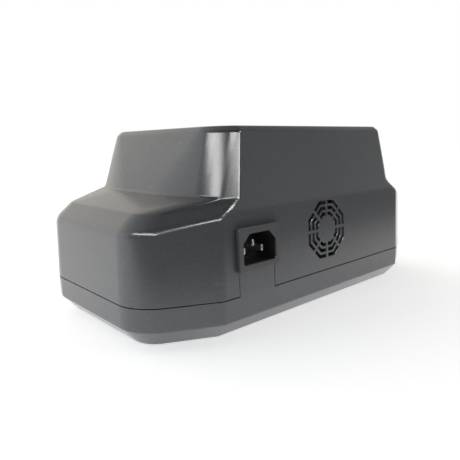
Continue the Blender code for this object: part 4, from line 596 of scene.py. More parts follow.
@dataclass(frozen=True)
class Outline:
    """One outline round the housing: flat back, angled wings, rounded corners and flat ends."""

    back_x: float
    back_y: float
    back_wing: float
    back_radius: float
    end_x: float
    front_x: float
    front_y: float
    front_wing: float
    front_radius: float
    back_z: float
    wing_z: float
    end_z: float
    front_z: float
    bow_radius: float = 0.0
    bow: float = 14.0 * DEG
    steps: int = 24
    bow_steps: int = 6

    @staticmethod
    def around(body: Body, inset: float, height: float) -> "Outline":
        """Return the housing's plan moved in, at one height."""
        crease = body.crease_x - inset * math.tan(body.wing / 2)
        radius = body.corner - inset
        return Outline(crease, body.back_y - inset, body.wing, radius, body.length / 2 - inset, crease,
                       body.front_y + inset, body.wing, radius, *[height] * 4)

    def moved_in(self, inset: float, drop: float) -> "Outline":
        """Return the outline moved in and down, as the inner face of the wall."""
        shift = inset * math.tan(self.back_wing / 2)
        steps = {"back_x": shift, "back_y": inset, "end_x": inset, "front_x": shift, "front_y": -inset,
                 "back_z": drop, "wing_z": drop, "end_z": drop, "front_z": drop}
        moved = {name: getattr(self, name) - step for name, step in steps.items()}
        return replace(self, back_radius=max(self.back_radius - inset, MM),
                       front_radius=max(self.front_radius - inset, MM),
                       bow_radius=max(self.bow_radius - inset, 0.0), **moved)

    def tangent(self) -> Vector:
        """Return where the back corner's arc meets the wing."""
        apex = Vector((self.end_x, self.back_y - (self.end_x - self.back_x) * math.tan(self.back_wing)))
        reach = self.back_radius * math.tan((math.pi / 2 - self.back_wing) / 2)
        return apex + reach * Vector((-math.cos(self.back_wing), math.sin(self.back_wing)))

    def arc(self, bm: bmesh.types.BMesh, side: int) -> list:
        """Spin the back (1) or front (-1) corner and the bow that runs from it into the end face."""
        crease, wing, radius = ((Vector((self.back_x, self.back_y)), self.back_wing, self.back_radius) if side > 0
                                else (Vector((self.front_x, self.front_y)), self.front_wing, self.front_radius))
        turn = math.pi / 2 - wing
        bow_radius = max(self.bow_radius, radius)
        start_x = (self.end_x - bow_radius * (1 - math.cos(self.bow))
                   - radius * (math.cos(self.bow) - math.cos(turn)))
        line = [bm.verts.new((start_x, crease.y - side * (start_x - crease.x) * math.tan(wing), 0))]
        facing = turn
        for reach, onto, steps in ((radius, self.bow, self.steps - self.bow_steps),
                                   (bow_radius, 0.0, self.bow_steps)):
            centre = line[-1].co - reach * Vector((math.cos(facing), side * math.sin(facing), 0))
            used = set(line[-1].link_edges)
            bmesh.ops.spin(bm, geom=[line[-1]], cent=centre, axis=(0, 0, -side), dvec=(0, 0, 0),
                           angle=facing - onto, steps=steps, use_merge=False, use_duplicate=False)
            for _ in range(steps):
                edge = next(e for e in line[-1].link_edges if e not in used)
                used.add(edge)
                line.append(edge.other_vert(line[-1]))
            facing = onto
        return line

    def chain(self, bm: bmesh.types.BMesh, seam_z: float) -> list:
        """Add the half outline from the middle of the back round to the front and return its edges in order."""
        back = self.arc(bm, 1)
        for i, vert in enumerate(back):
            rise = math.sin(math.pi / 2 * i / self.steps)
            vert.co.z = self.wing_z + (self.end_z - self.wing_z) * rise
        front = list(reversed(self.arc(bm, -1)))
        for vert in front:
            vert.co.z = self.end_z
        start = [bm.verts.new((0, self.back_y, self.back_z)), bm.verts.new((self.back_x, self.back_y, self.back_z))]
        end = [bm.verts.new((self.front_x, self.front_y, self.front_z)), bm.verts.new((0, self.front_y, self.front_z))]
        line = [*start, *back, *front, *end]
        bmesh.ops.translate(bm, vec=(0, 0, seam_z), verts=line)
        return [bm.edges.get(pair) or bm.edges.new(pair) for pair in zip(line, line[1:])]


@dataclass(frozen=True)
class Band:
    """One outline of a shell and how far its edges are rounded."""

    outline: Outline
    along: float = 0.0
    upright: float = 0.0
    back: Optional[float] = None
    wing: Optional[float] = None
    between: Optional[float] = None


class Loft:
    """A closed shell laid through a row of outlines, with a rounding weight on its edges."""

    WIDEST = 6.0 * MM

    def __init__(self, body: Body) -> None:
        """Start an empty half shell."""
        self.body = body
        self.shape = Shape()
        self.weights = self.shape.bm.edges.layers.float.new("bevel_weight_edge")

    def weigh(self, edges: Iterable, radius: float) -> None:
        """Give edges the weight of a rounding radius."""
        for edge in edges:
            edge[self.weights] = radius / self.WIDEST

    def lay(self, bands: list) -> Shape:
        """Bridge a row of outlines from one closed end to the other and mirror the half."""
        bm = self.shape.bm
        chains = [band.outline.chain(bm, self.body.seam_z) for band in bands]
        for index, band in enumerate(bands):
            if band.between is not None:
                self.part_way(chains[index - 1], chains[index], chains[index + 1], band)
        for lower, upper in zip(chains, chains[1:]):
            bmesh.ops.bridge_loops(bm, edges=lower + upper)
        for band, chain in zip(bands, chains):
            self.weigh_band(band, chain)
        for lower, upper, band in zip(chains, chains[1:], bands):
            for spot in (1, -1):
                edge = bm.edges.get((self.joint(lower, spot), self.joint(upper, spot)))
                if edge:
                    self.weigh([edge], band.upright)
        for chain in (chains[0], chains[-1]):
            closing = bm.edges.new((self.tip(chain, 0), self.tip(chain, -1)))
            bmesh.ops.contextual_create(bm, geom=[*chain, closing])
        bmesh.ops.mirror(bm, geom=[*bm.verts, *bm.edges, *bm.faces], axis="X", merge_dist=0.002 * MM)
        bmesh.ops.remove_doubles(bm, verts=bm.verts, dist=0.001 * MM)
        bmesh.ops.recalc_face_normals(bm, faces=bm.faces)
        flat = [e for e in bm.edges if len(e.link_faces) == 2 and not e[self.weights]
                and e.calc_face_angle() < 0.02 * DEG]
        bmesh.ops.dissolve_edges(bm, edges=flat, use_verts=True)
        return self.shape

    def weigh_band(self, band: Band, chain: list) -> None:
        """Give the edges of one outline their rounding."""
        self.weigh(chain, band.along)
        if band.back is not None:
            self.weigh(chain[:1], band.back)
        if band.wing is not None:
            steps = band.outline.steps
            self.weigh(chain[1:2], band.wing)
            for i, edge in enumerate(chain[2:2 + steps]):
                share = (i + 0.5) / steps
                self.weigh([edge], band.wing + (band.along - band.wing) * share * share * (3 - 2 * share))

    def part_way(self, before: list, chain: list, after: list, band: Band) -> None:
        """Move an outline's corners to lie between its neighbours, but keep its back where it is."""
        rows = [[self.tip(row, 0), *self.onward(row)] for row in (before, chain, after)]
        for index, (first, vert, last) in enumerate(zip(*rows)):
            depth = vert.co.y
            vert.co = first.co.lerp(last.co, band.between)
            if index < 2:
                vert.co.y = depth

    def onward(self, chain: list) -> list:
        """Return the vertices of a chain after its first one."""
        line, vert = [], self.tip(chain, 0)
        for edge in chain:
            vert = edge.other_vert(vert)
            line.append(vert)
        return line

    @staticmethod
    def joint(chain: list, spot: int) -> bmesh.types.BMVert:
        """Return the crease vertex at the back (1) or front (-1) of a chain."""
        pair = (chain[0], chain[1]) if spot > 0 else (chain[-1], chain[-2])
        return next(v for v in pair[0].verts if v in pair[1].verts)

    @staticmethod
    def tip(chain: list, index: int) -> bmesh.types.BMVert:
        """Return the vertex at the start or end of a chain."""
        edge, beside = (chain[0], chain[1]) if index == 0 else (chain[-1], chain[-2])
        return next(v for v in edge.verts if v not in beside.verts)


@dataclass(frozen=True)
class Grille:
    """The moulded octagonal fan grille."""

    x: float = -1.0 * MM
    z: float = 26.55 * MM
    across: float = 36.6 * MM
    rings: int = 3
    slot: float = 2.2 * MM
    bar: float = 1.5 * MM
    spoke: float = 1.9 * MM
    lead_in: float = 0.25 * MM

    def outline(self, inner: float, outer: float, index: int) -> list:
        """Return one slot's corners as (x, z), bent round a corner of the octagon between two distances."""
        corner = 1 / math.cos(math.pi / 8)
        first, last = index * math.pi / 4, (index + 1) * math.pi / 4
        middle = (first + last) / 2
        half = self.spoke / 2

        def on_flat(distance: float, angle: float, side: float) -> tuple:
            """Return a point beside a spoke."""
            return (distance * math.cos(angle) - side * math.sin(angle),
                    distance * math.sin(angle) + side * math.cos(angle))

        return [on_flat(outer, first, half), on_flat(outer * corner, middle, 0), on_flat(outer, last, -half),
                on_flat(inner, last, -half), on_flat(inner * corner, middle, 0), on_flat(inner, first, half)]

    def slots(self, wall: float) -> Shape:
        """Return every slot as one cutter, with a small lead-in at the outer face."""
        made = Shape()
        for ring in range(self.rings):
            outer = self.across / 2 - ring * (self.slot + self.bar)
            for index in range(8):
                outline = self.outline(outer - self.slot, outer, index)
                tool = Shape.plate(outline, -2.5 * wall, self.lead_in, self.lead_in)
                made.join(tool.move((self.x, 0, self.z)))
        return made


@dataclass(frozen=True)
class Cover:
    """The top cover: drafted walls, rising chamfer, shoulders, raised block and creased back.

    Each pair of the band, the shoulder and the block's base gives the back first, then the wing, end or front.
    """

    body: Body
    grille: Grille = field(default_factory=Grille)
    panel_crease: float = 46.9 * MM
    upper_tilt: float = 7.4 * DEG
    band_plan: float = 38.1 * MM
    band_z: tuple = (44.3 * MM, 39.5 * MM)
    shoulder_z: tuple = (51.4 * MM, 47.2 * MM)
    shoulder_flat: tuple = (11.3 * MM, 3.4 * MM)
    shoulder_wing: tuple = (29.0 * DEG, 28.0 * DEG)
    shoulder_end: float = 11.15 * MM
    shoulder_front: float = 7.8 * MM
    base_z: tuple = (53.5 * MM, 54.6 * MM)
    base_flat: float = 14.5 * MM
    base_end: float = 34.85 * MM
    base_front: float = 10.5 * MM
    base_radius: float = 20.0 * MM
    base_bow: float = 150.0 * MM
    rim_z: float = 88.6 * MM
    rim_flat: float = 20.1 * MM
    rim_end: float = 48.95 * MM
    rim_radius: float = 22.0 * MM
    top_inset: float = 3.3 * MM
    top_rise: float = 2.9 * MM
    notch_width: float = 28.0 * MM
    notch_top: float = 35.6 * MM
    grommet_bore: float = 7.8 * MM
    lamps: tuple = (28.0 * MM, 40.0 * MM, 52.0 * MM)
    lamp_z: float = 26.0 * MM
    lamp_bore: float = 2.8 * MM
    boss: tuple = (2.0 * MM, 4.2 * MM)
    boss_bore: float = 14.0 * MM
    fan_pitch: float = 32.0 * MM
    fan_boss: tuple = (1.6 * MM, 2.8 * MM)
    fan_boss_height: float = 4.0 * MM

    def back_face(self, height: float) -> float:
        """Return where the outer back face stands at a height above the seam."""
        lower = min(height, self.panel_crease)
        upper = max(height - self.panel_crease, 0.0)
        return self.body.back_y - lower * math.tan(DRAFT) - upper * math.tan(self.upper_tilt)

    def outlines(self) -> list:
        """Return the outer outlines: seam, band, shoulder, block base, rim and top."""
        body = self.body
        low = body.seam_gap / 2
        flat, end = body.crease_x, body.length / 2
        seam = Outline.around(body, low * math.tan(DRAFT), low)
        back_z, wing_z = self.band_z
        band = replace(Outline.around(body, self.band_plan * math.tan(DRAFT), self.band_plan),
                       back_y=self.back_face(back_z), back_z=back_z, wing_z=wing_z)
        back_z, end_z = self.shoulder_z
        shoulder = Outline(flat - self.shoulder_flat[0], self.back_face(back_z), self.shoulder_wing[0],
                           self.base_radius, end - self.shoulder_end, flat - self.shoulder_flat[1],
                           body.front_y + self.shoulder_front, self.shoulder_wing[1], self.base_radius,
                           back_z, end_z, end_z, end_z)
        shoulder = replace(shoulder, wing_z=self.on_wing(band, shoulder))
        back_z, end_z = self.base_z
        base = Outline(flat - self.base_flat, self.back_face(back_z), body.wing, self.base_radius,
                       end - self.base_end, flat - self.base_flat, body.front_y + self.base_front, body.wing,
                       self.base_radius, back_z, back_z, end_z, end_z, bow_radius=self.base_bow)
        rim_front = base.front_y + (self.rim_z - end_z) * math.tan(self.upper_tilt)
        rim = Outline(flat - self.rim_flat, self.back_face(self.rim_z), body.wing, self.rim_radius,
                      end - self.rim_end, flat - self.rim_flat, rim_front, body.wing, self.rim_radius,
                      *[self.rim_z] * 4)
        return [seam, band, shoulder, base, rim, rim.moved_in(self.top_inset, -self.top_rise)]

    @staticmethod
    def on_wing(band: Outline, shoulder: Outline) -> float:
        """Return the height at which the shoulder's wing lies on the flat chamfer above the band."""
        low = Vector((band.back_x, band.back_y, band.back_z))
        side = Vector((*band.tangent(), band.wing_z)) - low
        rise = Vector((shoulder.back_x, shoulder.back_y, shoulder.back_z)) - low
        across = side.cross(rise)
        place = shoulder.tangent() - low.xy
        return band.back_z - (across.x * place.x + across.y * place.y) / across.z

    def bands(self) -> list:
        """Return the closed shell's outlines with their roundings, from the top down outside and up inside."""
        seam, band, shoulder, base, rim, top = self.outlines()
        body, wall = self.body, self.body.wall
        share = (shoulder.back_z - self.panel_crease) / (shoulder.back_z - band.back_z)
        crease = replace(band, back_y=self.back_face(self.panel_crease), back_z=self.panel_crease)
        groove = wall - body.lip_thickness - body.fit
        roof = body.lip_height + body.fit
        return [Band(top, along=1.2 * MM, upright=0.8 * MM),
                Band(rim, along=1.0 * MM, upright=0.8 * MM),
                Band(base, along=1.2 * MM, upright=2.0 * MM, back=0.0, wing=1.0 * MM),
                Band(shoulder, along=1.0 * MM, upright=2.4 * MM, back=0.0, wing=0.4 * MM),
                Band(crease, along=0.0, upright=2.0 * MM, back=1.6 * MM, between=share),
                Band(band, along=3.2 * MM, upright=2.2 * MM, back=0.0, wing=2.0 * MM),
                Band(seam, along=0.25 * MM),
                *[Band(Outline.around(body, *row)) for row in ((groove, seam.back_z), (groove, roof), (wall, roof))],
                Band(band.moved_in(wall, 1.0 * MM)), Band(shoulder.moved_in(1.8 * MM, 2.2 * MM)),
                Band(base.moved_in(wall, 2.6 * MM)), Band(rim.moved_in(wall, 1.2 * MM)),
                Band(top.moved_in(3.0 * MM, wall))]

    def bosses(self) -> Shape:
        """Return the posts that hang from the shoulders over the tray's posts."""
        body = self.body
        shoulder, base = self.outlines()[2:4]
        slope = (base.end_z - shoulder.end_z) / (shoulder.end_x - base.end_x)
        bore, radius = self.boss
        low = body.fit / 2
        made = Shape()
        for x, y in four_corners(*SCREW):
            post = Shape.lathe([(0, self.boss_bore), (bore, self.boss_bore), (bore, low), (radius, low),
                                (radius, base.end_z), (0, base.end_z)], 32)
            post.move((x, body.middle_y + y, 0))
            for vert in post.bm.verts:
                if vert.co.z > base.end_z - MM:
                    vert.co.z -= (abs(vert.co.x) - base.end_x) * slope + body.wall / 2
            made.join(post)
        return made.move((0, 0, body.seam_z))

    def fan_bosses(self) -> Shape:
        """Return the four posts that carry the fan."""
        bore, radius = self.fan_boss
        wall, reach = self.body.wall, self.body.wall + self.fan_boss_height
        floor = wall + self.body.fit
        made = Shape()
        for x, z in four_corners(self.fan_pitch / 2, self.fan_pitch / 2):
            post = Shape.lathe([(0, floor), (bore, floor), (bore, reach), (radius, reach), (radius, wall / 2),
                                (0, wall / 2)], 24).turn(math.pi / 2, "X")
            made.join(post.move((self.grille.x + x, 0, self.grille.z + z)))
        return made.set_in(self.body.panel())

    def build(self, palette: Palette) -> None:
        """Make the cover and cut its openings."""
        panel, wall = self.body.panel(), self.body.wall
        piece = Piece("top_cover_moulding", Loft(self.body).lay(self.bands()))
        piece.soften(Loft.WIDEST, 5)
        piece.cut(self.bosses(), "UNION")
        piece.cut(self.fan_bosses(), "UNION")
        piece.cut(self.grille.slots(wall).set_in(panel))
        notch_height = self.notch_top + 10 * MM
        notch = Shape.block((self.notch_width, 4 * wall, notch_height),
                            (INLET[0], 0, self.notch_top - notch_height / 2))
        piece.cut(notch.set_in(panel))
        holes = Shape.rod(self.grommet_bore, 6 * wall, (GROMMET[0], 0, GROMMET[1]), 64)
        holes.join(*[Shape.rod(self.lamp_bore, 6 * wall, (lamp, 0, self.lamp_z)) for lamp in self.lamps])
        piece.cut(holes.set_in(self.body.front_panel()))
        piece.finish(palette, "housing", ["top_cover"], sharp=32 * DEG)


@dataclass(frozen=True)
class Tray:
    """The bottom tray: a shallow pan with a chamfered foot, a seam lip and the inlet tab."""

    body: Body
    height: float = 22.0 * MM
    wall_height: float = 13.0 * MM
    taper: float = 0.3 * MM
    chamfer: float = 9.1 * MM
    skirt: float = 1.3 * MM
    skirt_width: float = 3.0 * MM
    tab_width: float = 27.4 * MM
    tab_top: float = 15.6 * MM
    tab_root: float = 1.2 * MM
    foot: tuple = (92.0 * MM, 46.0 * MM)
    foot_bore: float = 7.3 * MM
    foot_recess: tuple = (0.3 * MM, 2.3 * MM)
    well: float = 3.7 * MM
    well_depth: float = 20.0 * MM
    post: float = 5.3 * MM
    post_foot: float = 2.4 * MM
    post_roof: float = 3.0 * MM
    screw_bore: float = 2.0 * MM
    vents: int = 9
    vent_pitch: float = 9.0 * MM
    vent_size: tuple = (3.0 * MM, 26.0 * MM, 12.0 * MM)
    vent_y: float = -38.0 * MM
    vent_round: float = 1.4 * MM

    def bands(self) -> list:
        """Return the closed shell's outlines with their roundings, up the outside and down the inside."""
        body, wall = self.body, self.body.wall
        foot = self.taper + self.chamfer
        inner = foot + self.skirt_width
        lip = wall - body.lip_thickness
        base = -self.height - self.skirt
        rim = -body.seam_gap / 2
        rows = ((inner + 0.6 * MM, -self.height, 0.0, 0.0), (inner, base, 0.4 * MM, 0.0),
                (foot, base, 1.6 * MM, 0.0), (self.taper, -self.wall_height, 0.7 * MM, 0.8 * MM),
                (0.0, rim, 0.25 * MM, 0.0), (lip, rim, 0.0, 0.0), (lip, body.lip_height, 0.2 * MM, 0.0),
                (wall, body.lip_height, 0.2 * MM, 0.0), (wall + self.taper, -self.wall_height + MM, 0.0, 0.0),
                (foot + MM, -self.height + wall, 0.0, 0.0))
        return [Band(Outline.around(body, inset, height), along, upright) for inset, height, along, upright in rows]

    def tab(self) -> Shape:
        """Return the tab that closes the cover's notch behind the inlet flange."""
        body = self.body
        shape = Shape.block((self.tab_width, body.wall, self.tab_top + 5 * MM),
                            (INLET[0], -body.wall / 2 + 0.01 * MM, (self.tab_top - 5 * MM) / 2))
        for vert in shape.bm.verts:
            vert.co.y -= max(vert.co.z, 0.0) * math.tan(DRAFT)
            if vert.co.z < 0:
                vert.co.z = -self.tab_root
        shape.round([edge for edge in shape.uprights() if edge.verts[0].co.y > -MM], 0.3 * MM)
        return shape.move((0, body.back_y, body.seam_z))

    def openings(self) -> Shape:
        """Return the screw wells, foot recesses and intake slots as one cutter."""
        middle = self.body.middle_y
        low, high = self.foot_recess
        made = Shape()
        for (screw_x, screw_y), (foot_x, foot_y) in zip(four_corners(*SCREW), four_corners(*self.foot)):
            made.join(Shape.rod(self.well, 36 * MM, (screw_x, middle + screw_y, self.well_depth - 18 * MM), 48, "Z"),
                      Shape.rod(self.foot_bore, high - low, (foot_x, middle + foot_y, (low + high) / 2), 64, "Z"))
        for i in range(self.vents):
            x = (i - (self.vents - 1) / 2) * self.vent_pitch
            slot = Shape.block(self.vent_size, (x, middle + self.vent_y, 3 * MM))
            made.join(slot.round(slot.uprights(), self.vent_round, 6))
        return made

    def posts(self) -> Shape:
        """Return the tubes round the screw wells."""
        top = self.body.seam_z - self.body.fit / 2
        roof = top - self.post_roof
        profile = [(self.post, self.post_foot), (self.post, top), (self.screw_bore, top), (self.screw_bore, roof),
                   (self.well, roof), (self.well, self.post_foot)]
        made = Shape()
        for x, y in four_corners(*SCREW):
            made.join(Shape.lathe(profile, 48).move((x, self.body.middle_y + y, 0)))
        return made

    def build(self, palette: Palette) -> None:
        """Make the tray and cut its openings."""
        piece = Piece("bottom_tray_moulding", Loft(self.body).lay(self.bands()))
        piece.soften(Loft.WIDEST, 4)
        piece.cut(self.openings())
        piece.cut(self.tab(), "UNION")
        piece.cut(self.posts(), "UNION")
        piece.finish(palette, "housing", ["bottom_tray"], sharp=32 * DEG)


@dataclass(frozen=True)
class MainsInlet:
    """The flanged mains inlet: its face, its well and three flat pins."""

    body: Body
    flange: tuple = (31.0 * MM, 2.8 * MM, 24.5 * MM)
    corner: float = 1.6 * MM
    edge_round: float = 0.45 * MM
    rear: tuple = (27.4 * MM, 16.0 * MM, 19.4 * MM)
    mouth: tuple = (24.8 * MM, 16.8 * MM)
    mouth_flare: float = 0.3 * MM
    cut_corner: float = 5.0 * MM
    round_corner: float = 1.5 * MM
    rear_wall: float = 2.0 * MM
    pin: tuple = (2.0 * MM, 4.0 * MM)
    pin_round: tuple = (0.85 * MM, 0.2 * MM)
    pin_pitch: float = 7.0 * MM
    pin_rise: float = 4.0 * MM
    pin_setback: float = 5.5 * MM
    pin_tag: float = 7.0 * MM
    pin_places: tuple = (("live", -1, -0.5), ("earth", 0, 0.5), ("neutral", 1, -0.5))

    def place(self, x: float = 0.0, z: float = 0.0) -> Matrix:
        """Return the frame of a point of the inlet on the panel, counted from the inlet's middle."""
        return self.body.panel() @ Matrix.Translation((INLET[0] + x, 0, INLET[1] + z))

    def reach(self) -> tuple:
        """Return where the well's housing begins and ends and where the flange's face stands, along Y."""
        start = self.body.fit + self.flange[1] / 2
        return start, start - self.rear[1] - self.body.wall / 2, self.body.fit + self.flange[1]

    def outline(self) -> list:
        """Return the mouth's outline as (x, z): cut corners above, rounded corners below."""
        half_w, half_h = self.mouth[0] / 2, self.mouth[1] / 2
        radius, cut = self.round_corner, self.cut_corner
        low = [(half_w - radius + x, -half_h + radius + z) for x, z in round_arc(radius, range(-90, 1, 15))]
        right = [*low, (half_w, half_h - cut), (half_w - cut, half_h)]
        return right + [(-x, z) for x, z in reversed(right)]

    def moulding(self, palette: Palette) -> None:
        """Make the flange with its well behind it."""
        start, end, face = self.reach()
        width, _, height = self.rear
        plate = Shape.block(self.flange, (0, start, 0))
        plate.round(plate.uprights(1), self.corner, 8)
        plate.round(plate.creases(40 * DEG), self.edge_round)
        piece = Piece("mains_inlet_moulding", plate.set_in(self.place()))
        well = Shape.block((width, start - end, height), (0, (start + end) / 2, 0))
        piece.cut(well.set_in(self.place()), "UNION")
        flare = self.mouth_flare
        piece.cut(Shape.plate(self.outline(), end + self.rear_wall, face + flare, flare).set_in(self.place()))
        piece.finish(palette, "inlet_plastic", ["mains_inlet"])

    def pins(self, palette: Palette) -> None:
        """Make the three flat pins with rounded ends."""
        _, end, face = self.reach()
        tip, tail = face - self.pin_setback, end - self.pin_tag
        middle = (tip + tail) / 2
        for name, side, lift in self.pin_places:
            pin = Shape.block((self.pin[0], tip - tail, self.pin[1]), (0, middle, 0))
            pin.round(pin.edges(lambda e: all(v.co.y > middle for v in e.verts)), self.pin_round[0], 4)
            pin.round(pin.creases(60 * DEG), self.pin_round[1], 2)
            pin.set_in(self.place(side * self.pin_pitch, lift * self.pin_rise))
            Piece(f"pin_{name}_plated", pin).finish(palette, "nickel", [f"inlet_pin_{name}"])

    def build(self, palette: Palette) -> None:
        """Make the inlet and its pins."""
        self.moulding(palette)
        self.pins(palette)


@dataclass(frozen=True)
class FrontPieces:
    """The lead grommet and the status lamps on the front."""

    body: Body
    bore: float = 4.5 * MM
    neck: float = 7.5 * MM
    bead: tuple = (1.0 * MM, 0.6 * MM, 1.2 * MM, 2.0 * MM)
    flange: float = 10.5 * MM
    flange_edge: float = 1.2 * MM
    bore_edge: float = 0.6 * MM
    proud: float = 3.2 * MM
    lamp_radius: float = 2.5 * MM
    collar: tuple = (0.5 * MM, 1.0 * MM)

    def lead_grommet(self, palette: Palette) -> None:
        """Turn the rubber grommet with its waist, flange and bead."""
        fit, proud = self.body.fit, self.proud
        inside = self.body.wall + 2 * fit
        bore, neck, flange, edge = self.bore, self.neck, self.flange, self.flange_edge
        bulge, shoulder, shoulder_at, length = self.bead
        profile = [(bore, self.bore_edge - proud), (bore + self.bore_edge, -proud), (flange - edge, -proud),
                   (flange - 0.35 * edge, 0.35 * edge - proud), (flange, edge - proud), (flange, -fit), (neck, -fit),
                   (neck, inside), (neck + bulge, inside), (neck + shoulder, inside + shoulder_at),
                   (neck, inside + length), (bore, inside + length)]
        turned = Shape.lathe(profile, 72).turn(-math.pi / 2, "X").move((GROMMET[0], 0, GROMMET[1]))
        piece = Piece("grommet_turned", turned.set_in(self.body.front_panel()))
        piece.finish(palette, "rubber", ["lead_grommet"], sharp=50 * DEG)

    def status_lamp(self, palette: Palette, colour: str) -> None:
        """Turn one lamp with its collar and domed lens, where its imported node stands."""
        low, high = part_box(f"status_lamp_{colour}")
        length = high.y - low.y
        radius = self.lamp_radius
        width, thick = self.collar
        dome = [(r, length - radius + h) for r, h in round_arc(radius, range(0, 90, 10))]
        profile = [(0, 0), (radius + width, 0), (radius + width, thick), (radius, thick), *dome, (0, length)]
        turned = Shape.lathe(profile, 48).turn(math.pi / 2, "X")
        turned.move(((low.x + high.x) / 2, high.y, (low.z + high.z) / 2))
        Piece(f"lamp_lens_{colour}", turned).finish(palette, f"lamp_{colour}", [f"status_lamp_{colour}"])

    def build(self, palette: Palette) -> None:
        """Make every piece on the front."""
        self.lead_grommet(palette)
        for colour in ("red", "yellow", "green"):
            self.status_lamp(palette, colour)


@dataclass(frozen=True)
class Feet:
    """The four rubber feet, each with a shallow dish and a rounded rim."""

    radius: float = 7.0 * MM
    rim: float = 0.6 * MM
    dish: float = 0.25 * MM
    dish_edge: tuple = (2.4 * MM, 1.8 * MM)

    def build(self, palette: Palette) -> None:
        """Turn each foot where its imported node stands."""
        radius, rim = self.radius, self.rim
        for name in ("front_left", "back_left", "front_right", "back_right"):
            low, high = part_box(f"rubber_foot_{name}")
            top = high.z - low.z
            profile = [(0, self.dish), (radius - self.dish_edge[0], self.dish), (radius - self.dish_edge[1], 0),
                       (radius - rim, 0), (radius - 0.3 * rim, 0.3 * rim), (radius, rim), (radius, top), (0, top)]
            turned = Shape.lathe(profile, 72).move(((low.x + high.x) / 2, (low.y + high.y) / 2, low.z))
            Piece(f"foot_{name}_turned", turned).finish(palette, "rubber", [f"rubber_foot_{name}"], sharp=50 * DEG)


@dataclass(frozen=True)
class View:
    """The camera, placed from the middle of the back panel's foot at the seam.

    Its focal length and the middle of its picture are in pixels of a square picture.
    """

    sensor: float = 36.0
    pixels: float = 460.0
    focal: float = 466.816
    middle: tuple = (234.959, 225.213)
    place: tuple = (0.239356, 0.179123, 0.082238)
    yaw: float = -41.834 * DEG
    pitch: float = 10.006 * DEG
    roll: float = -1.383 * DEG

    def turn(self) -> Matrix:
        """Return the camera's turn, whose columns are its right, up and back directions."""
        ahead = Vector((math.sin(self.yaw) * math.cos(self.pitch), -math.cos(self.yaw) * math.cos(self.pitch),
                        -math.sin(self.pitch)))
        right = ahead.cross(Vector((0, 0, 1))).normalized()
        up = right.cross(ahead)
        rolled = math.cos(self.roll) * right + math.sin(self.roll) * up
        top = math.cos(self.roll) * up - math.sin(self.roll) * right
        return Matrix((rolled, top, -ahead)).transposed()

    def aim(self, origin: Vector) -> None:
        """Add the camera at the photograph's angle."""
        data = bpy.data.cameras.new("camera")
        data.sensor_width = self.sensor
        data.lens = self.sensor * self.focal / self.pixels
        data.shift_x = (self.pixels / 2 - self.middle[0]) / self.pixels
        data.shift_y = (self.middle[1] - self.pixels / 2) / self.pixels
        data.clip_start = 0.01
        obj = add_object("camera", data)
        obj.matrix_world = Matrix.Translation(origin + Vector(self.place)) @ self.turn().to_4x4()
        bpy.context.scene.camera = obj


def heading(turn: float, rise: float) -> Vector:
    """Return the direction at an angle in degrees from +X towards +Y, lifted by a second angle."""
    return Vector((math.cos(turn * DEG) * math.cos(rise * DEG), math.sin(turn * DEG) * math.cos(rise * DEG),
                   math.sin(rise * DEG)))


@dataclass(frozen=True)
class Lamp:
    """One soft lamp of the studio, hung a metre from the charger and seen in its gloss alone.

    Its angles are in degrees: its heading's two angles and its own tilt.
    """

    name: str
    turn: float
    rise: float
    size: tuple
    power: float
    tilt: float = 0.0

    def hang(self, centre: Vector) -> None:
        """Add the lamp to the scene, facing a point."""
        data = bpy.data.lights.new(self.name, "AREA")
        data.shape = "RECTANGLE"
        data.size, data.size_y = self.size
        data.energy = self.power
        obj = add_object(self.name, data)
        away = heading(self.turn, self.rise)
        facing = away.to_track_quat("Z", "Y").to_matrix().to_4x4()
        obj.matrix_world = Matrix.Translation(centre + away) @ facing @ Matrix.Rotation(self.tilt * DEG, 4, "Z")
        obj.visible_diffuse = False


@dataclass(frozen=True)
class Fade:
    """A change of the world's light from one level to another, as a direction turns towards a heading."""

    turn: float
    rise: float
    start: float
    stop: float
    low: float
    high: float


class Air(Nodes):
    """The world's node tree."""

    def __init__(self, tree: bpy.types.NodeTree) -> None:
        """Take the world's tree."""
        super().__init__(tree)
        self.rays = self.node("LightPath")
        self.direction = self.node("TexCoord").outputs["Generated"]

    def fade(self, fade: Fade) -> Socket:
        """Return the level of a fade for a ray's direction."""
        along = self.node("VectorMath", {0: self.direction, 1: heading(fade.turn, fade.rise)},
                          operation="DOT_PRODUCT").outputs["Value"]
        return self.spread(along, fade.start, fade.stop, fade.low, fade.high, smooth=True)

    def largest(self, *rays: str) -> Socket:
        """Return 1 where a ray is of one of some kinds."""
        value = self.rays.outputs[rays[0]]
        for ray in rays[1:]:
            value = self.math("MAXIMUM", value, self.rays.outputs[ray])
        return value


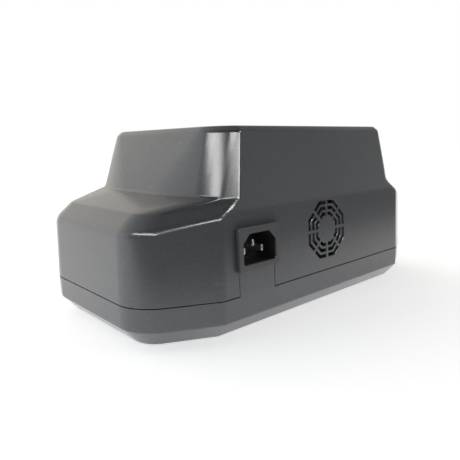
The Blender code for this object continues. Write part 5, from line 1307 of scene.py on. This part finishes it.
@dataclass(frozen=True)
class Room:
    """The world round the charger: plain white to the camera, and a room of uneven light to everything else."""

    air: float = 1.7
    camera_side: Fade = Fade(48.0, 20.0, 0.2, 0.75, 1.0, 0.07)
    roof: Fade = Fade(0.0, 90.0, 0.4, 0.9, 1.0, 0.4)
    left: Fade = Fade(-40.0, 10.0, -0.2, 0.9, 0.5, 1.35)
    beyond: Fade = Fade(228.0, 15.0, -0.3, 0.8, 0.0, 1.0)
    warm: tuple = (1.0, 0.96, 0.88)
    cool: tuple = (0.86, 0.92, 1.0)

    def build(self) -> None:
        """Give the world its light: dark on the camera's side and overhead, and bright to the camera's left."""
        world = bpy.data.worlds.new("studio_air")
        bpy.context.scene.world = world
        world.use_nodes = True
        air = Air(world.node_tree)
        shade = air.tree.nodes["Background"]
        white = air.largest("Is Camera Ray", "Is Glossy Ray", "Is Transmission Ray")
        level = air.spread(white, 0.0, 1.0, self.air, 1.0, smooth=True)
        lit = air.product(level, air.fade(self.camera_side), air.fade(self.roof), air.fade(self.left))
        shown = air.largest("Is Camera Ray", "Is Transmission Ray")
        tinted = air.mix(air.fade(self.beyond), air.mix(shown, self.cool, (1, 1, 1)),
                         air.mix(shown, self.warm, (1, 1, 1)))
        air.tree.links.new(tinted, shade.inputs["Color"])
        air.tree.links.new(air.math("MAXIMUM", lit, shown), shade.inputs["Strength"])


@dataclass(frozen=True)
class Floor:
    """The pale floor: it glows evenly to the camera, and dims on the camera's side to everything else; under the
    charger its glow holds a painted shadow.
    """

    size: float = 6.0
    card: tuple = ((0.9, 0.9, 0.9), (0.92, 0.92, 0.92))
    card_patch: float = 0.2
    far_colour: tuple = (0.12, 0.12, 0.12)
    far_lean: float = 0.35
    far_reach: tuple = (0.13, 0.3, 0.95)
    shadow_half_plan: tuple = (7.7, 13.3)
    # painted shadow: the glow runs from its low under the charger to its high beside it
    glow: tuple = (0.9, 1.3, 0.56, 0.68)
    glow_seen: float = 0.6

    def build(self) -> None:
        """Lay the floor."""
        sheet = Shape()
        bmesh.ops.create_grid(sheet.bm, x_segments=1, y_segments=1, size=self.size / 2)
        ground = add_object("floor", sheet.mesh("floor"))
        ground.data.materials.append(self.material())

    def material(self) -> bpy.types.Material:
        """Return its card, whose glow is less under the charger as a painted shadow."""
        graph = Graph("floor_card")
        card = graph.mix(graph.blotches(self.card_patch, 2.0), *self.card)
        seen = graph.node("LightPath").outputs["Is Camera Ray"]
        x, y, _ = graph.axes()
        lean = graph.product(graph.math("MAXIMUM", x, 0.0), self.far_lean)
        start, stop, most = self.far_reach
        far = graph.product(graph.spread(graph.math("ADD", y, lean), start, stop, 0.0, most),
                            graph.math("SUBTRACT", 1.0, seen))
        # painted shadow: the glow that other rays see is lowered within the charger's plan
        beside = graph.math("MAXIMUM", graph.product(graph.off_middle(x), self.shadow_half_plan[0]),
                            graph.product(graph.off_middle(y), self.shadow_half_plan[1]))
        glow = graph.node("MapRange", {"Value": seen, "To Min": graph.spread(beside, *self.glow),
                                       "To Max": self.glow_seen}).outputs[0]
        graph.set(Base_Color=graph.mix(far, card, self.far_colour), Roughness=0.9, Specular_IOR_Level=0.0,
                  Emission_Color=(1, 1, 1, 1),
                  Emission_Strength=graph.product(graph.math("SUBTRACT", 1.0, far), glow))
        return graph.material


@dataclass(frozen=True)
class Studio:
    """The camera, the room, the floor and the lamps, hung round a point above the floor."""

    origin: Vector
    hub: tuple = (0.0, 0.0, 60 * MM)
    lamps: tuple = (Lamp("strip", 36.5, 25.3, (0.84, 0.15), 5.6, -25.0),
                    Lamp("strip_end", 2.0, 32.5, (0.35, 0.1), 1.6, -12.0),
                    Lamp("window_top", 68.0, 25.8, (0.26, 0.085), 1.4, -24.0),
                    Lamp("window", 86.5, 17.2, (0.32, 0.19), 3.8),
                    Lamp("high_window", 110.0, 37.5, (0.26, 0.26), 3.8))

    def build(self) -> None:
        """Set the whole studio up."""
        View().aim(self.origin)
        Room().build()
        Floor().build()
        for lamp in self.lamps:
            lamp.hang(Vector(self.hub))
        bpy.context.scene.view_settings.view_transform = "Standard"


def main() -> None:
    """Build everything in order."""
    logging.basicConfig(level=logging.INFO, format="%(message)s")
    body = Body()
    palette = Palette(FINISHES)
    palette.dress_nodes()
    Cover(body).build(palette)
    Tray(body).build(palette)
    MainsInlet(body).build(palette)
    FrontPieces(body).build(palette)
    Feet().build(palette)
    Studio(Vector((0, body.back_y, body.seam_z))).build()


if __name__ == "__main__":
    main()
